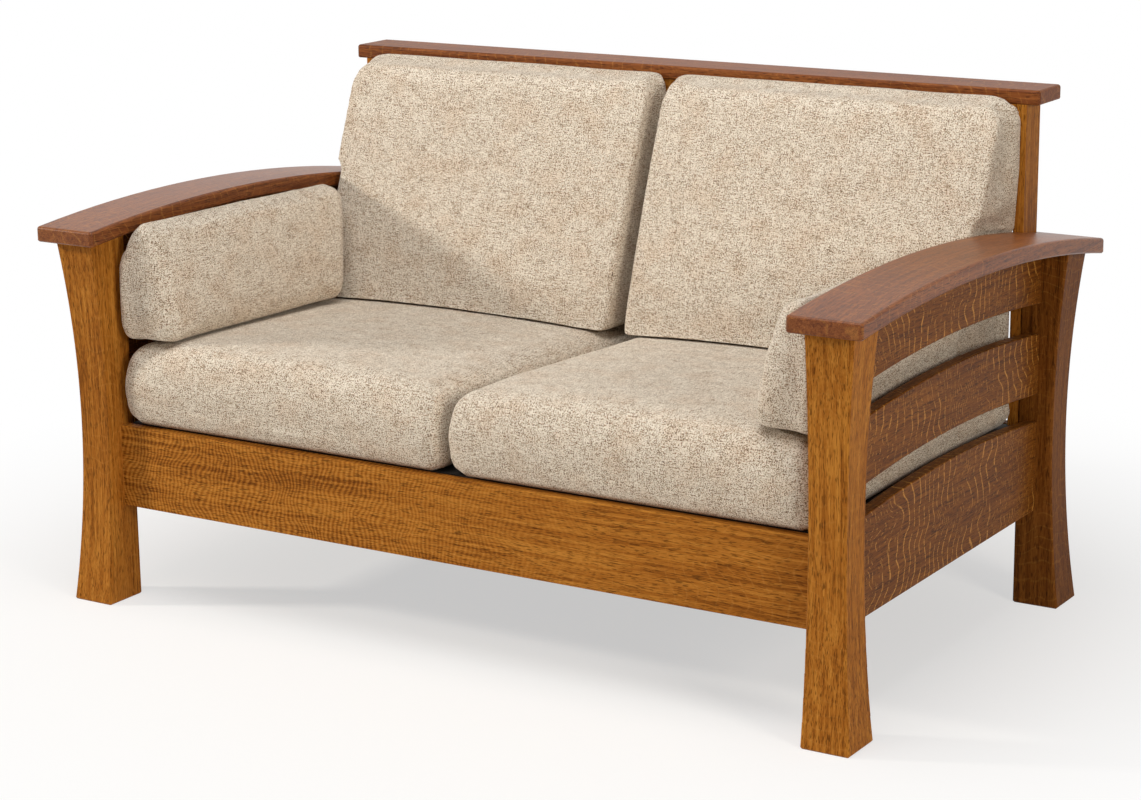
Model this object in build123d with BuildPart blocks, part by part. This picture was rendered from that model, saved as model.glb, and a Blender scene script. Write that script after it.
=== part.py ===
"""Two-seat settee in quarter-sawn oak with bowed arms and six loose cushions.

Millimetres. The origin is on the floor under the middle of the piece.
+X is the sitter's left, which is the right-hand side seen from the front.
-Y is the front and +Z is up.
"""

from build123d import *
from math import sqrt
import os

os.makedirs("parts", exist_ok=True)

# Overall frame
overall_height = 863.6
clear_width = 1307.0
frame_depth = 860.0
board = 20.6

# Legs: square-sided blanks whose two outer faces are hollowed in one long arc
leg_width = 80.0
leg_depth = 82.0
leg_hollow = 18.5
leg_edge_radius = 4.0
foot_chamfer = 2.5

# Arm caps: boards bent to one long bow that falls towards the back
cap_width = 120.0
cap_thickness = 25.4
cap_overhang = 20.5
cap_front_height = 646.5
cap_rear_height = 614.0
cap_rise = 32.5
cap_corner_radius = 6.0
cap_upper_round = 5.0
cap_lower_chamfer = 2.5

# Side frames: bottom rail, middle slat and top rail with bowed edges
side_setback = 13.5
rail_bottom = 165.0
bottom_rail_share = 0.3462
lower_gap_share = 0.1056
slat_share = 0.2315
upper_gap_share = 0.1146
side_bow = 19.0
side_edge_round = 2.0
side_lower_chamfer = 1.5

# Front and rear seat rails
seat_rail_height = 140.0
seat_rail_setback = 49.5
seat_rail_edge_round = 2.0

# Back: two stiles, two rails, upright slats and a wide crest board
stile_thickness = 19.0
stile_depth = 56.0
crest_thickness = 24.0
crest_depth = 92.5
crest_end_overhang = 21.5
crest_corner_radius = 6.0
crest_upper_round = 5.0
crest_lower_round = 3.0
back_top_rail_height = 90.0
back_bottom_rail_height = 70.0
back_bottom_rail_lift = 40.0
back_slat_count = 9
back_slat_width = 70.0
back_slat_thickness = 12.0
back_setback = 1.0
back_edge_round = 2.0

# Joinery
side_tenon_length = 22.0
rail_tenon_length = 16.0
back_tenon_length = 12.0
back_slat_housing = 12.0
deck_tenon_length = 14.0
stretcher_tenon_length = 12.0
tenon_thickness = 10.0
deck_tenon_thickness = 8.0
tenon_shoulder = 12.0
deck_tenon_shoulder = 6.0
joint_play = 0.15

# Dowels and screws
cap_dowel_diameter = 10.0
cap_dowel_length = 44.0
cap_dowel_depth = 15.0
cap_dowel_shares = (0.28, 0.72)
crest_dowel_diameter = 8.0
crest_dowel_length = 36.0
crest_dowel_depth = 14.0
crest_dowel_shares = (-0.75, -0.25, 0.25, 0.75)
dowel_play = 0.1
screw_diameter = 4.2
screw_head_diameter = 8.4
screw_head_height = 2.6
screw_play = 0.1
stile_screw_length = 42.0
stile_screw_shares = (0.15, 0.5, 0.85)
cleat_screw_length = 34.0
cleat_screw_shares = (-0.9, -0.45, 0.05, 0.45, 0.9)
deck_screw_length = 34.0
deck_screw_shares = (-0.7, -0.2, 0.2, 0.7)

# Seat deck: a drop-in frame with flat zigzag springs under a stretched cloth
deck_board_width = 60.0
deck_board_thickness = 20.0
deck_drop = 8.0
deck_gap = 1.5
cleat_size = 20.0
cleat_end_gap = 6.0
stretcher_height = 70.0
spring_wire = 3.8
spring_width = 56.0
spring_bends = 16
springs_per_side = 3
spring_play = 0.1
clip_gauge = 1.2
clip_width = 16.0
clip_tail = 14.0
clip_setback = 16.0
cloth_thickness = 1.4
cloth_margin = 4.0

# Room between soft pieces and what they lie on or lean against
soft_clearance = 0.3

# Where the outlines of a cushion are drawn: shares of an end's reach, then of the whole length
end_station_shares = (0, 0.12, 0.42, 1.0)
middle_station_shares = (0.18, 0.34, 0.5, 0.66, 0.82)

# Seat cushions
seat_front_setback = 29.0
seat_outer_gap = 2.5
seat_middle_gap = 5.0
seat_rear_gap = 6.0
seat_front_height = 139.5
seat_slope_share = 0.0412
seat_crown = 13.0
seat_swell = 6.0
seat_nose = 38.0
seat_nose_swell = 10.5
seat_rear_round = 22.0
seat_side_reach = 32.0
seat_side_fall_share = 0.42
seat_side_rise_share = 0.33
seat_corner_inset = 32.0
seat_nose_shares = ((0.9, 0), (0.27, 0.15), (0.24, 0.82), (1.0, 1.0))
seat_rear_inset = 22.0

# Arm cushions: wedges that stand on the seat and taper towards the top
arm_front_setback = 46.0
arm_rear_room = 239.0
arm_rear_lean_share = 0.375
arm_outer_gap = 6.5
arm_base_width = 111.0
arm_top_width = 70.0
arm_bottom_pitch_share = 0.021
arm_height_share = 1.11
arm_crown = 5.0
arm_base_round = 20.0
arm_base_round_share = 0.1111
arm_shoulder_drop_share = 0.0833
arm_outer_round = 34.0
arm_outer_round_share = 0.1889
arm_outer_shoulder = 26.0
arm_outer_shoulder_share = 0.1222
arm_face_swell = 6.0
arm_edge_swell = 3.5
arm_end_reach = 30.0
arm_end_inset_share = 0.1667
arm_inset_shares = (0.9, 0.35)
arm_base_steps = 12

# Back cushions: wedges that stand on the seat and lean on the back
back_base_depth = 215.0
back_lean = 156.0
back_height_share = 0.981
back_middle_gap = 6.0
back_face_swell = 12.0
back_side_swell = 1.5
back_side_round = 16.0
back_over_cap = 11.0
back_over_cap_reach = 16.0
back_rear_round = 12.0
back_top_reach_share = 0.1022
back_top_inset = 42.0
back_base_reach_share = 0.066
back_base_inset = 16.0
back_inset_shares = (0.5, 1.0, 0.35)

# Overrun of every cut past the face it starts from
overrun = 5.0

# Places that follow from the sizes above
leg_inner_x = clear_width / 2
leg_outer_x = leg_inner_x + leg_width
front_y = -frame_depth / 2
rear_y = frame_depth / 2
front_leg_back_y = front_y + leg_depth
rear_leg_front_y = rear_y - leg_depth
side_length = rear_leg_front_y - front_leg_back_y
cap_inner_x = leg_inner_x - stile_thickness
cap_front_y = front_y - cap_overhang
cap_rear_y = rear_y + cap_overhang
side_inner_x = leg_inner_x + side_setback
side_mid_x = side_inner_x + board / 2
seat_rail_top = rail_bottom + seat_rail_height
front_rail_y = front_y + seat_rail_setback
rear_rail_y = rear_y - seat_rail_setback
front_rail_back_y = front_rail_y + board
rear_rail_front_y = rear_rail_y - board
crest_bottom = overall_height - crest_thickness
crest_front_y = rear_leg_front_y
back_front_y = rear_leg_front_y + back_setback
stile_inner_x = leg_inner_x - stile_thickness
stile_mid_x = leg_inner_x - stile_thickness / 2
stile_mid_y = back_front_y + stile_depth / 2
back_rail_mid_y = back_front_y + board / 2
back_top_rail_bottom = crest_bottom - back_top_rail_height
back_bottom_rail_bottom = seat_rail_top + back_bottom_rail_lift
back_bottom_rail_top = back_bottom_rail_bottom + back_bottom_rail_height
deck_top = seat_rail_top - deck_drop
deck_bottom = deck_top - deck_board_thickness
cleat_bottom = deck_bottom - cleat_size
deck_front_y = front_rail_back_y + deck_gap
deck_rear_y = rear_rail_front_y - deck_gap
deck_half_width = leg_inner_x - deck_gap
deck_opening_front_y = deck_front_y + deck_board_width
deck_opening_rear_y = deck_rear_y - deck_board_width
cleat_half_length = leg_inner_x - cleat_end_gap
seat_front_y = front_y + seat_front_setback
arm_front_y = front_y + arm_front_setback
arm_rear_y = crest_front_y - arm_rear_room
back_cushion_height = (overall_height - seat_rail_top - seat_front_height) * back_height_share
back_top_reach = back_cushion_height * back_top_reach_share
back_base_reach = back_cushion_height * back_base_reach_share


def bow_height(y):
    """Height of the arm cap's upper face at a given y, on its long arc."""
    run = cap_rear_y - cap_front_y
    fall = cap_rear_height - cap_front_height
    chord = sqrt(run**2 + fall**2)
    radius = ((chord / 2) ** 2 + cap_rise**2) / (2 * cap_rise)
    drop = radius - cap_rise
    centre_y = (cap_front_y + cap_rear_y) / 2 + drop * fall / chord
    centre_z = (cap_front_height + cap_rear_height) / 2 - drop * run / chord
    return centre_z + sqrt(radius**2 - (y - centre_y) ** 2)


def bow_under(y):
    """Height of the arm cap's lower face at a given y."""
    return bow_height(y) - cap_thickness


# Heights of the side pieces, as shares of the room from the bottom rail's lower edge to the caps
side_rise = min(bow_under(front_leg_back_y), bow_under(rear_leg_front_y)) - rail_bottom
bottom_rail_top = rail_bottom + side_rise * bottom_rail_share
slat_bottom = bottom_rail_top + side_rise * lower_gap_share
slat_top = slat_bottom + side_rise * slat_share
top_rail_bottom = slat_top + side_rise * upper_gap_share


def bow_line(start_y, end_y, height):
    """The part of the cap's bow between two places, as one arc."""
    mid_y = (start_y + end_y) / 2
    ThreePointArc((start_y, height(start_y)), (mid_y, height(mid_y)), (end_y, height(end_y)))


def block(low, high, mode=Mode.ADD):
    """A square-edged block between two opposite corners."""
    centre = [(a + b) / 2 for a, b in zip(low, high)]
    with Locations(tuple(centre)):
        Box(*[b - a for a, b in zip(low, high)], mode=mode)


def peg(start, axis, diameter, length, mode=Mode.ADD):
    """A round peg, or its hole, from a start point along an axis."""
    with Locations(Plane(origin=start, z_dir=axis)):
        align = (Align.CENTER, Align.CENTER, Align.MIN)
        Cylinder(diameter / 2, length, align=align, mode=mode)


def screw(start, axis, length, play, mode=Mode.ADD):
    """A countersunk wood screw, or its hole, with its head flush at the start point."""
    with Locations(Plane(origin=start, z_dir=axis)):
        align = (Align.CENTER, Align.CENTER, Align.MIN)
        Cone(
            screw_head_diameter / 2 + play,
            screw_diameter / 2 + play,
            screw_head_height,
            align=align,
            mode=mode,
        )
        Cylinder(screw_diameter / 2 + play, length + play, align=align, mode=mode)


def side_tenon(y, outward, low, high, play, mode=Mode.ADD):
    """The tenon at one end of a side rail, or its mortise, from the shoulder at y."""
    far_y = y + outward * (side_tenon_length + play)
    half = tenon_thickness / 2 + play
    block(
        (side_mid_x - half, min(y, far_y), low + tenon_shoulder - play),
        (side_mid_x + half, max(y, far_y), high - tenon_shoulder + play),
        mode,
    )


def end_tenon(x, side, mid_y, low, high, length, play, mode=Mode.ADD):
    """The tenon at one end of a lengthwise rail, or its mortise, from the shoulder at x."""
    far_x = x + side * (length + play)
    half = tenon_thickness / 2 + play
    block(
        (min(x, far_x), mid_y - half, low + tenon_shoulder - play),
        (max(x, far_x), mid_y + half, high - tenon_shoulder + play),
        mode,
    )


def side_joints():
    """Low and high edge of each side piece where it meets the front and the rear leg."""
    fronts = [
        (rail_bottom, bottom_rail_top),
        (slat_bottom, slat_top),
        (top_rail_bottom, bow_under(front_leg_back_y)),
    ]
    rears = fronts[:2] + [(top_rail_bottom, bow_under(rear_leg_front_y))]
    return fronts, rears


def leg(outer_y, inner_y, rail_mid_y, joints, screws):
    """A leg on the +X side between its hollowed outer face and its straight inner face."""
    top_z = bow_under(outer_y)
    side_top_z = max(top_z, bow_under(inner_y)) + overrun
    inward = 1 if inner_y > outer_y else -1
    low_y = min(outer_y, inner_y)
    mid_y = (outer_y + inner_y) / 2
    with BuildPart() as piece:
        with BuildSketch(Plane.YZ.offset(leg_inner_x)):
            with BuildLine():
                ThreePointArc(
                    (outer_y, 0),
                    (outer_y + inward * leg_hollow, top_z / 2),
                    (outer_y, top_z),
                )
                bow_line(outer_y, inner_y, bow_under)
                Polyline((inner_y, bow_under(inner_y)), (inner_y, 0), (outer_y, 0))
            make_face()
        extrude(amount=leg_width)
        with BuildSketch(Plane.XZ.offset(-low_y)):
            with BuildLine():
                ThreePointArc(
                    (leg_outer_x, 0),
                    (leg_outer_x - leg_hollow, side_top_z / 2),
                    (leg_outer_x, side_top_z),
                )
                Polyline(
                    (leg_outer_x, side_top_z),
                    (leg_inner_x, side_top_z),
                    (leg_inner_x, 0),
                    (leg_outer_x, 0),
                )
            make_face()
        extrude(amount=-leg_depth, mode=Mode.INTERSECT)
        uprights = piece.edges().filter_by(lambda e: e.length > top_z / 2)
        fillet(uprights, radius=leg_edge_radius)
        chamfer(piece.faces().sort_by(Axis.Z)[0].edges(), length=foot_chamfer)
        for low, high in joints:
            side_tenon(inner_y, -inward, low, high, joint_play, Mode.SUBTRACT)
        end_tenon(
            leg_inner_x,
            1,
            rail_mid_y,
            rail_bottom,
            seat_rail_top,
            rail_tenon_length,
            joint_play,
            Mode.SUBTRACT,
        )
        for x in cap_dowel_places():
            start = (x, mid_y, bow_under(mid_y) + cap_dowel_depth - cap_dowel_length)
            length = cap_dowel_length + overrun
            peg(start, (0, 0, 1), cap_dowel_diameter + 2 * dowel_play, length, Mode.SUBTRACT)
        for start in screws:
            screw(start, (1, 0, 0), stile_screw_length, screw_play, Mode.SUBTRACT)
    return piece


def cap_dowel_places():
    """x of the two dowels that stand in the top of each leg."""
    return [leg_inner_x + leg_width * share for share in cap_dowel_shares]


def stile_screw_places():
    """Start points of the screws from the +X stile into the rear leg."""
    run = bow_under(rear_leg_front_y) - seat_rail_top
    return [(stile_inner_x, stile_mid_y, seat_rail_top + run * share) for share in stile_screw_shares]


def arm_cap():
    """The bowed arm board, notched round the back stile."""
    leg_mids = (front_y + leg_depth / 2, rear_y - leg_depth / 2)
    with BuildPart() as piece:
        with BuildSketch(Plane.YZ.offset(cap_inner_x)):
            with BuildLine():
                bow_line(cap_front_y, cap_rear_y, bow_height)
                Line((cap_rear_y, cap_rear_height), (cap_rear_y, bow_under(cap_rear_y)))
                bow_line(cap_rear_y, cap_front_y, bow_under)
                Line((cap_front_y, bow_under(cap_front_y)), (cap_front_y, cap_front_height))
            make_face()
        extrude(amount=cap_width)
        fillet(piece.edges().filter_by(Axis.Z), radius=cap_corner_radius)
        upper_face = piece.faces().sort_by(SortBy.AREA)[-2:].sort_by(Axis.Z)[1]
        fillet(upper_face.edges(), radius=cap_upper_round)
        lower_face = piece.faces().sort_by(SortBy.AREA)[-2:].sort_by(Axis.Z)[0]
        chamfer(lower_face.edges(), length=cap_lower_chamfer)
        block(
            (cap_inner_x - overrun, back_front_y - joint_play, bow_under(cap_rear_y) - overrun),
            (leg_inner_x, back_front_y + stile_depth + joint_play, crest_bottom),
            Mode.SUBTRACT,
        )
        for y in leg_mids:
            for x in cap_dowel_places():
                start = (x, y, bow_under(y) - overrun)
                length = overrun + cap_dowel_depth + dowel_play
                diameter = cap_dowel_diameter + 2 * dowel_play
                peg(start, (0, 0, 1), diameter, length, Mode.SUBTRACT)
    return piece


def side_piece(low, low_bow, high, high_bow, front_joint, rear_joint):
    """A flat side board with straight or bowed long edges and a tenon at each end."""
    with BuildPart() as piece:
        with BuildSketch(Plane.YZ.offset(side_inner_x)):
            with BuildLine():
                if high is None:
                    bow_line(front_leg_back_y, rear_leg_front_y, bow_under)
                else:
                    peak = (0, high + high_bow)
                    ThreePointArc((front_leg_back_y, high), peak, (rear_leg_front_y, high))
                Line((rear_leg_front_y, rear_joint[1]), (rear_leg_front_y, low))
                if low_bow:
                    peak = (0, low + low_bow)
                    ThreePointArc((rear_leg_front_y, low), peak, (front_leg_back_y, low))
                else:
                    Line((rear_leg_front_y, low), (front_leg_back_y, low))
                Line((front_leg_back_y, low), (front_leg_back_y, front_joint[1]))
            make_face()
        extrude(amount=board)
        fillet(long_edges(piece).sort_by(Axis.Z)[2:], radius=side_edge_round)
        chamfer(long_edges(piece).sort_by(Axis.Z)[:2], length=side_lower_chamfer)
        side_tenon(front_leg_back_y, -1, *front_joint, 0)
        side_tenon(rear_leg_front_y, 1, *rear_joint, 0)
    return piece


def long_edges(piece):
    """The edges of a side board that run from leg to leg."""
    return piece.edges().filter_by(lambda e: e.length > side_length / 2)


def mirrored(source):
    """The same piece for the -X side."""
    with BuildPart() as piece:
        mirror(source.part, about=Plane.YZ)
    return piece


def save(piece, name):
    """Label a finished piece and write it under its name."""
    piece.part.label = name
    export_step(piece.part, f"parts/{name}.step")


def save_pair(piece, name):
    """Write a +X piece and its mirror image."""
    save(piece, f"{name}_right")
    save(mirrored(piece), f"{name}_left")


def seat_rail(mid_y, inward):
    """A seat rail between the legs, with its centre rail mortise and its cleat screw holes."""
    with BuildPart() as piece:
        block(
            (-leg_inner_x, mid_y - board / 2, rail_bottom),
            (leg_inner_x, mid_y + board / 2, seat_rail_top),
        )
        fillet(piece.edges().filter_by(Axis.X), radius=seat_rail_edge_round)
        for side in (-1, 1):
            end_tenon(
                side * leg_inner_x, side, mid_y, rail_bottom, seat_rail_top, rail_tenon_length, 0
            )
        stretcher_tenon(mid_y + inward * board / 2, -inward, joint_play, Mode.SUBTRACT)
        for start in cleat_screw_places(mid_y + inward * (board / 2 + cleat_size)):
            screw(start, (0, -inward, 0), cleat_screw_length, screw_play, Mode.SUBTRACT)
    return piece


def stretcher_tenon(y, outward, play, mode=Mode.ADD):
    """The tenon at one end of the centre rail, or its mortise in a seat rail."""
    far_y = y + outward * (stretcher_tenon_length + play)
    half = tenon_thickness / 2 + play
    block(
        (-half, min(y, far_y), deck_bottom - stretcher_height + tenon_shoulder - play),
        (half, max(y, far_y), deck_bottom - tenon_shoulder + play),
        mode,
    )


def centre_rail():
    """The upright board under the middle of the deck."""
    with BuildPart() as piece:
        block(
            (-board / 2, front_rail_back_y, deck_bottom - stretcher_height),
            (board / 2, rear_rail_front_y, deck_bottom),
        )
        stretcher_tenon(front_rail_back_y, -1, 0)
        stretcher_tenon(rear_rail_front_y, 1, 0)
    return piece


def cleat_screw_places(y):
    """Start points of the screws that hold a cleat to its seat rail, on the cleat's free face."""
    z = cleat_bottom + cleat_size / 2
    return [(cleat_half_length * share, y, z) for share in cleat_screw_shares]


def deck_screw_places():
    """Start points of the screws that hold the deck to the cleats, front row and rear row."""
    rows = (deck_front_y + cleat_size / 2, deck_rear_y - cleat_size / 2)
    return [[(deck_half_width * share, y, deck_top) for share in deck_screw_shares] for y in rows]


def cleat(rail_face_y, inward, row):
    """A square batten along the inside of a seat rail, let over the centre rail."""
    low_y, high_y = sorted((rail_face_y, rail_face_y + inward * cleat_size))
    slot = board / 2 + joint_play
    with BuildPart() as piece:
        block((-cleat_half_length, low_y, cleat_bottom), (-slot, high_y, deck_bottom))
        block((slot, low_y, cleat_bottom), (cleat_half_length, high_y, deck_bottom))
        for start in cleat_screw_places(rail_face_y + inward * cleat_size):
            screw(start, (0, -inward, 0), cleat_screw_length, screw_play, Mode.SUBTRACT)
        for start in row:
            screw(start, (0, 0, -1), deck_screw_length, screw_play, Mode.SUBTRACT)
    return piece


def stile():
    """The +X upright of the back, standing on the rear rail inside the rear leg."""
    with BuildPart() as piece:
        block(
            (stile_inner_x, back_front_y, seat_rail_top),
            (leg_inner_x, back_front_y + stile_depth, crest_bottom),
        )
        inner_front = piece.edges().filter_by(Axis.Z).group_by(Axis.Y)[0].sort_by(Axis.X)[0]
        fillet(inner_front, radius=back_edge_round)
        for low, high in back_rail_spans():
            end_tenon(
                stile_inner_x,
                1,
                back_rail_mid_y,
                low,
                high,
                back_tenon_length,
                joint_play,
                Mode.SUBTRACT,
            )
        for start in stile_screw_places():
            screw(start, (1, 0, 0), stile_screw_length, screw_play, Mode.SUBTRACT)
        crest_dowel_hole((stile_mid_x, stile_mid_y))
    return piece


def back_rail_spans():
    """Low and high edge of the lower and the upper back rail."""
    return [(back_bottom_rail_bottom, back_bottom_rail_top), (back_top_rail_bottom, crest_bottom)]


def crest_dowel_places():
    """x and y of the dowels under the crest board: a row in the top rail, one in each stile."""
    row = [(stile_inner_x * share, back_rail_mid_y) for share in crest_dowel_shares]
    return row + [(-stile_mid_x, stile_mid_y), (stile_mid_x, stile_mid_y)]


def crest_dowel_hole(place):
    """The hole for one crest dowel, cut in whatever lies above and below the joint."""
    start = (*place, crest_bottom + crest_dowel_depth - crest_dowel_length - dowel_play)
    length = crest_dowel_length + 2 * dowel_play
    peg(start, (0, 0, 1), crest_dowel_diameter + 2 * dowel_play, length, Mode.SUBTRACT)


def back_slat_places():
    """x of the middle of each upright back slat, with equal gaps up to the stiles."""
    pitch = (2 * stile_inner_x + back_slat_width) / (back_slat_count + 1)
    pitch_count = (back_slat_count - 1) / 2
    return [(index - pitch_count) * pitch for index in range(back_slat_count)]


def back_slat(mid_x, play, mode=Mode.ADD):
    """One upright slat with both ends housed in the back rails, or its two housings."""
    half_width = back_slat_width / 2 + play
    half_thickness = back_slat_thickness / 2 + play
    block(
        (mid_x - half_width, back_rail_mid_y - half_thickness, back_bottom_rail_top - back_slat_housing),
        (mid_x + half_width, back_rail_mid_y + half_thickness, back_top_rail_bottom + back_slat_housing),
        mode,
    )


def back_rail(low, high):
    """A lengthwise rail of the back with tenons in the stiles and housings for the slats."""
    with BuildPart() as piece:
        block(
            (-stile_inner_x, back_rail_mid_y - board / 2, low),
            (stile_inner_x, back_rail_mid_y + board / 2, high),
        )
        fillet(piece.edges().filter_by(Axis.X), radius=back_edge_round)
        for side in (-1, 1):
            end_tenon(side * stile_inner_x, side, back_rail_mid_y, low, high, back_tenon_length, 0)
        for x in back_slat_places():
            back_slat(x, joint_play, Mode.SUBTRACT)
        if high == crest_bottom:
            for place in crest_dowel_places():
                crest_dowel_hole(place)
    return piece


def crest():
    """The wide flat board along the top of the back."""
    half_length = leg_inner_x + crest_end_overhang
    with BuildPart() as piece:
        block(
            (-half_length, crest_front_y, crest_bottom),
            (half_length, crest_front_y + crest_depth, overall_height),
        )
        fillet(piece.edges().filter_by(Axis.Z), radius=crest_corner_radius)
        fillet(piece.faces().sort_by(Axis.Z)[-1].edges(), radius=crest_upper_round)
        fillet(piece.faces().sort_by(Axis.Z)[0].edges(), radius=crest_lower_round)
        for place in crest_dowel_places():
            crest_dowel_hole(place)
    return piece


def deck_board(mid_y, row):
    """The front or rear board of the deck, mortised for the cross boards."""
    with BuildPart() as piece:
        block(
            (-deck_half_width, mid_y - deck_board_width / 2, deck_bottom),
            (deck_half_width, mid_y + deck_board_width / 2, deck_top),
        )
        for x in deck_cross_places():
            deck_cross(x, joint_play, Mode.SUBTRACT)
        for start in row:
            screw(start, (0, 0, -1), deck_screw_length, screw_play, Mode.SUBTRACT)
    return piece


def deck_cross_places():
    """x of the middle of the two end boards and of the centre board of the deck."""
    end_x = deck_half_width - deck_board_width / 2
    return [-end_x, 0, end_x]


def deck_cross(mid_x, play, mode=Mode.ADD):
    """The full-length tongue of a cross board, or the mortises that it fills."""
    half_width = deck_board_width / 2 - deck_tenon_shoulder + play
    mid_z = (deck_bottom + deck_top) / 2
    half = deck_tenon_thickness / 2 + play
    block(
        (mid_x - half_width, deck_opening_front_y - deck_tenon_length - play, mid_z - half),
        (mid_x + half_width, deck_opening_rear_y + deck_tenon_length + play, mid_z + half),
        mode,
    )


def deck_cross_board(mid_x):
    """A board from front to rear of the deck with a tenon at each end."""
    with BuildPart() as piece:
        block(
            (mid_x - deck_board_width / 2, deck_opening_front_y, deck_bottom),
            (mid_x + deck_board_width / 2, deck_opening_rear_y, deck_top),
        )
        deck_cross(mid_x, 0)
    return piece


def spring_places():
    """x of the middle of each spring, spread evenly over both halves of the deck."""
    cross_x = deck_cross_places()[-1]
    half_opening = cross_x - deck_board_width
    pitch = half_opening / springs_per_side
    first = deck_board_width / 2 + pitch / 2
    half = [first + pitch * index for index in range(springs_per_side)]
    return [-x for x in reversed(half)] + half


def spring_run_ends():
    """y of the first and the last straight run of a spring, where the clips hold it."""
    return deck_opening_front_y - clip_setback, deck_opening_rear_y + clip_setback


def spring(mid_x):
    """A flat zigzag spring: straight runs across, joined by half-turn bends."""
    first_y, last_y = spring_run_ends()
    pitch = (last_y - first_y) / spring_bends
    bend = pitch / 2
    reach = spring_width / 2 - bend
    z = deck_top + spring_wire / 2 + spring_play
    with BuildPart() as piece:
        with BuildLine() as path:
            side = -1
            for turn in range(spring_bends + 1):
                y = first_y + turn * pitch
                Line((mid_x + side * reach, y, z), (mid_x - side * reach, y, z))
                side = -side
                if turn < spring_bends:
                    apex = (mid_x + side * (reach + bend), y + bend, z)
                    ThreePointArc((mid_x + side * reach, y, z), apex, (mid_x + side * reach, y + pitch, z))
        with BuildSketch(Plane(origin=(mid_x - reach, first_y, z), z_dir=(1, 0, 0))):
            Circle(spring_wire / 2)
        sweep(path=path.line)
    return piece


def clips():
    """The folded clips that hold both ends of every spring down on the deck boards."""
    inside = spring_wire / 2 + spring_play
    first_y, last_y = spring_run_ends()
    low = deck_top
    arch_top = low + spring_wire + 2 * spring_play
    with BuildPart() as piece:
        for x in spring_places():
            for y, outward in ((first_y, -1), (last_y, 1)):
                far = y + outward * (inside + clip_gauge)
                near = y - outward * (inside + clip_gauge)
                tail = far + outward * clip_tail
                with BuildSketch(Plane.YZ.offset(x - clip_width / 2)):
                    with BuildLine():
                        Polyline(
                            (tail, low),
                            (y + outward * inside, low),
                            (y + outward * inside, arch_top),
                            (y - outward * inside, arch_top),
                            (y - outward * inside, low),
                            (near, low),
                            (near, arch_top + clip_gauge),
                            (far, arch_top + clip_gauge),
                            (far, low + clip_gauge),
                            (tail, low + clip_gauge),
                            close=True,
                        )
                    make_face()
                extrude(amount=clip_width)
    return piece


def deck_cloth():
    """The cloth stretched over the springs, with its edge turned down to the deck boards."""
    outer_x = deck_half_width - cloth_margin
    low_y = deck_front_y + cloth_margin
    high_y = deck_rear_y - cloth_margin
    with BuildPart() as piece:
        block((-outer_x, low_y, deck_top), (outer_x, high_y, seat_rail_top))
        block(
            (-outer_x + cloth_thickness, low_y + cloth_thickness, deck_top - overrun),
            (outer_x - cloth_thickness, high_y - cloth_thickness, seat_rail_top - cloth_thickness),
            Mode.SUBTRACT,
        )
    return piece


def eased(distance, reach):
    """How much of an end's inset is left at a distance in from the end, on a quarter ellipse."""
    outside = max(0, 1 - distance / reach)
    return 1 - sqrt(1 - outside**2)


def soft_section(plane, points, swells):
    """A face inside a closed outline, taken counterclockwise, whose sides each swell outwards."""
    with BuildSketch(plane) as section:
        with BuildLine():
            for start, end, swell in zip(points, points[1:] + points[:1], swells):
                if swell == 0:
                    Line(start, end)
                else:
                    run, rise = end[0] - start[0], end[1] - start[1]
                    side = sqrt(run**2 + rise**2)
                    middle = (
                        (start[0] + end[0]) / 2 + rise / side * swell,
                        (start[1] + end[1]) / 2 - run / side * swell,
                    )
                    ThreePointArc(start, middle, end)
        make_face()
    return section.sketch


def lofted(sections):
    """A soft solid drawn through its sections in turn."""
    with BuildPart() as piece:
        loft(sections, ruled=True)
    return piece


def end_stations(length, reach):
    """Distances along a cushion at which its outline is drawn, closer together at the ends."""
    near = [reach * share for share in end_station_shares]
    middle = [length * share for share in middle_station_shares]
    return near + middle + [length - distance for distance in reversed(near)]


def seat_top(distance, length):
    """Height of the seat cushion's upper front edge at a distance in from one of its ends."""
    across_share = 2 * distance / length - 1
    return seat_rail_top + seat_front_height + seat_crown * (1 - across_share**2)


def seat_height(distance, y):
    """Height of the seat cushion's upper face at a distance in from its end, at a given y."""
    length = leg_inner_x - seat_outer_gap - seat_middle_gap / 2
    front = seat_front_y + seat_nose_swell + seat_nose
    rear = back_front_y - seat_rear_gap - seat_rear_round
    share = (y - front) / (rear - front)
    fall = seat_slope_share * (rear + seat_rear_round - front + seat_nose)
    return seat_top(distance, length) - fall * share + 4 * seat_swell * share * (1 - share)


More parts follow.
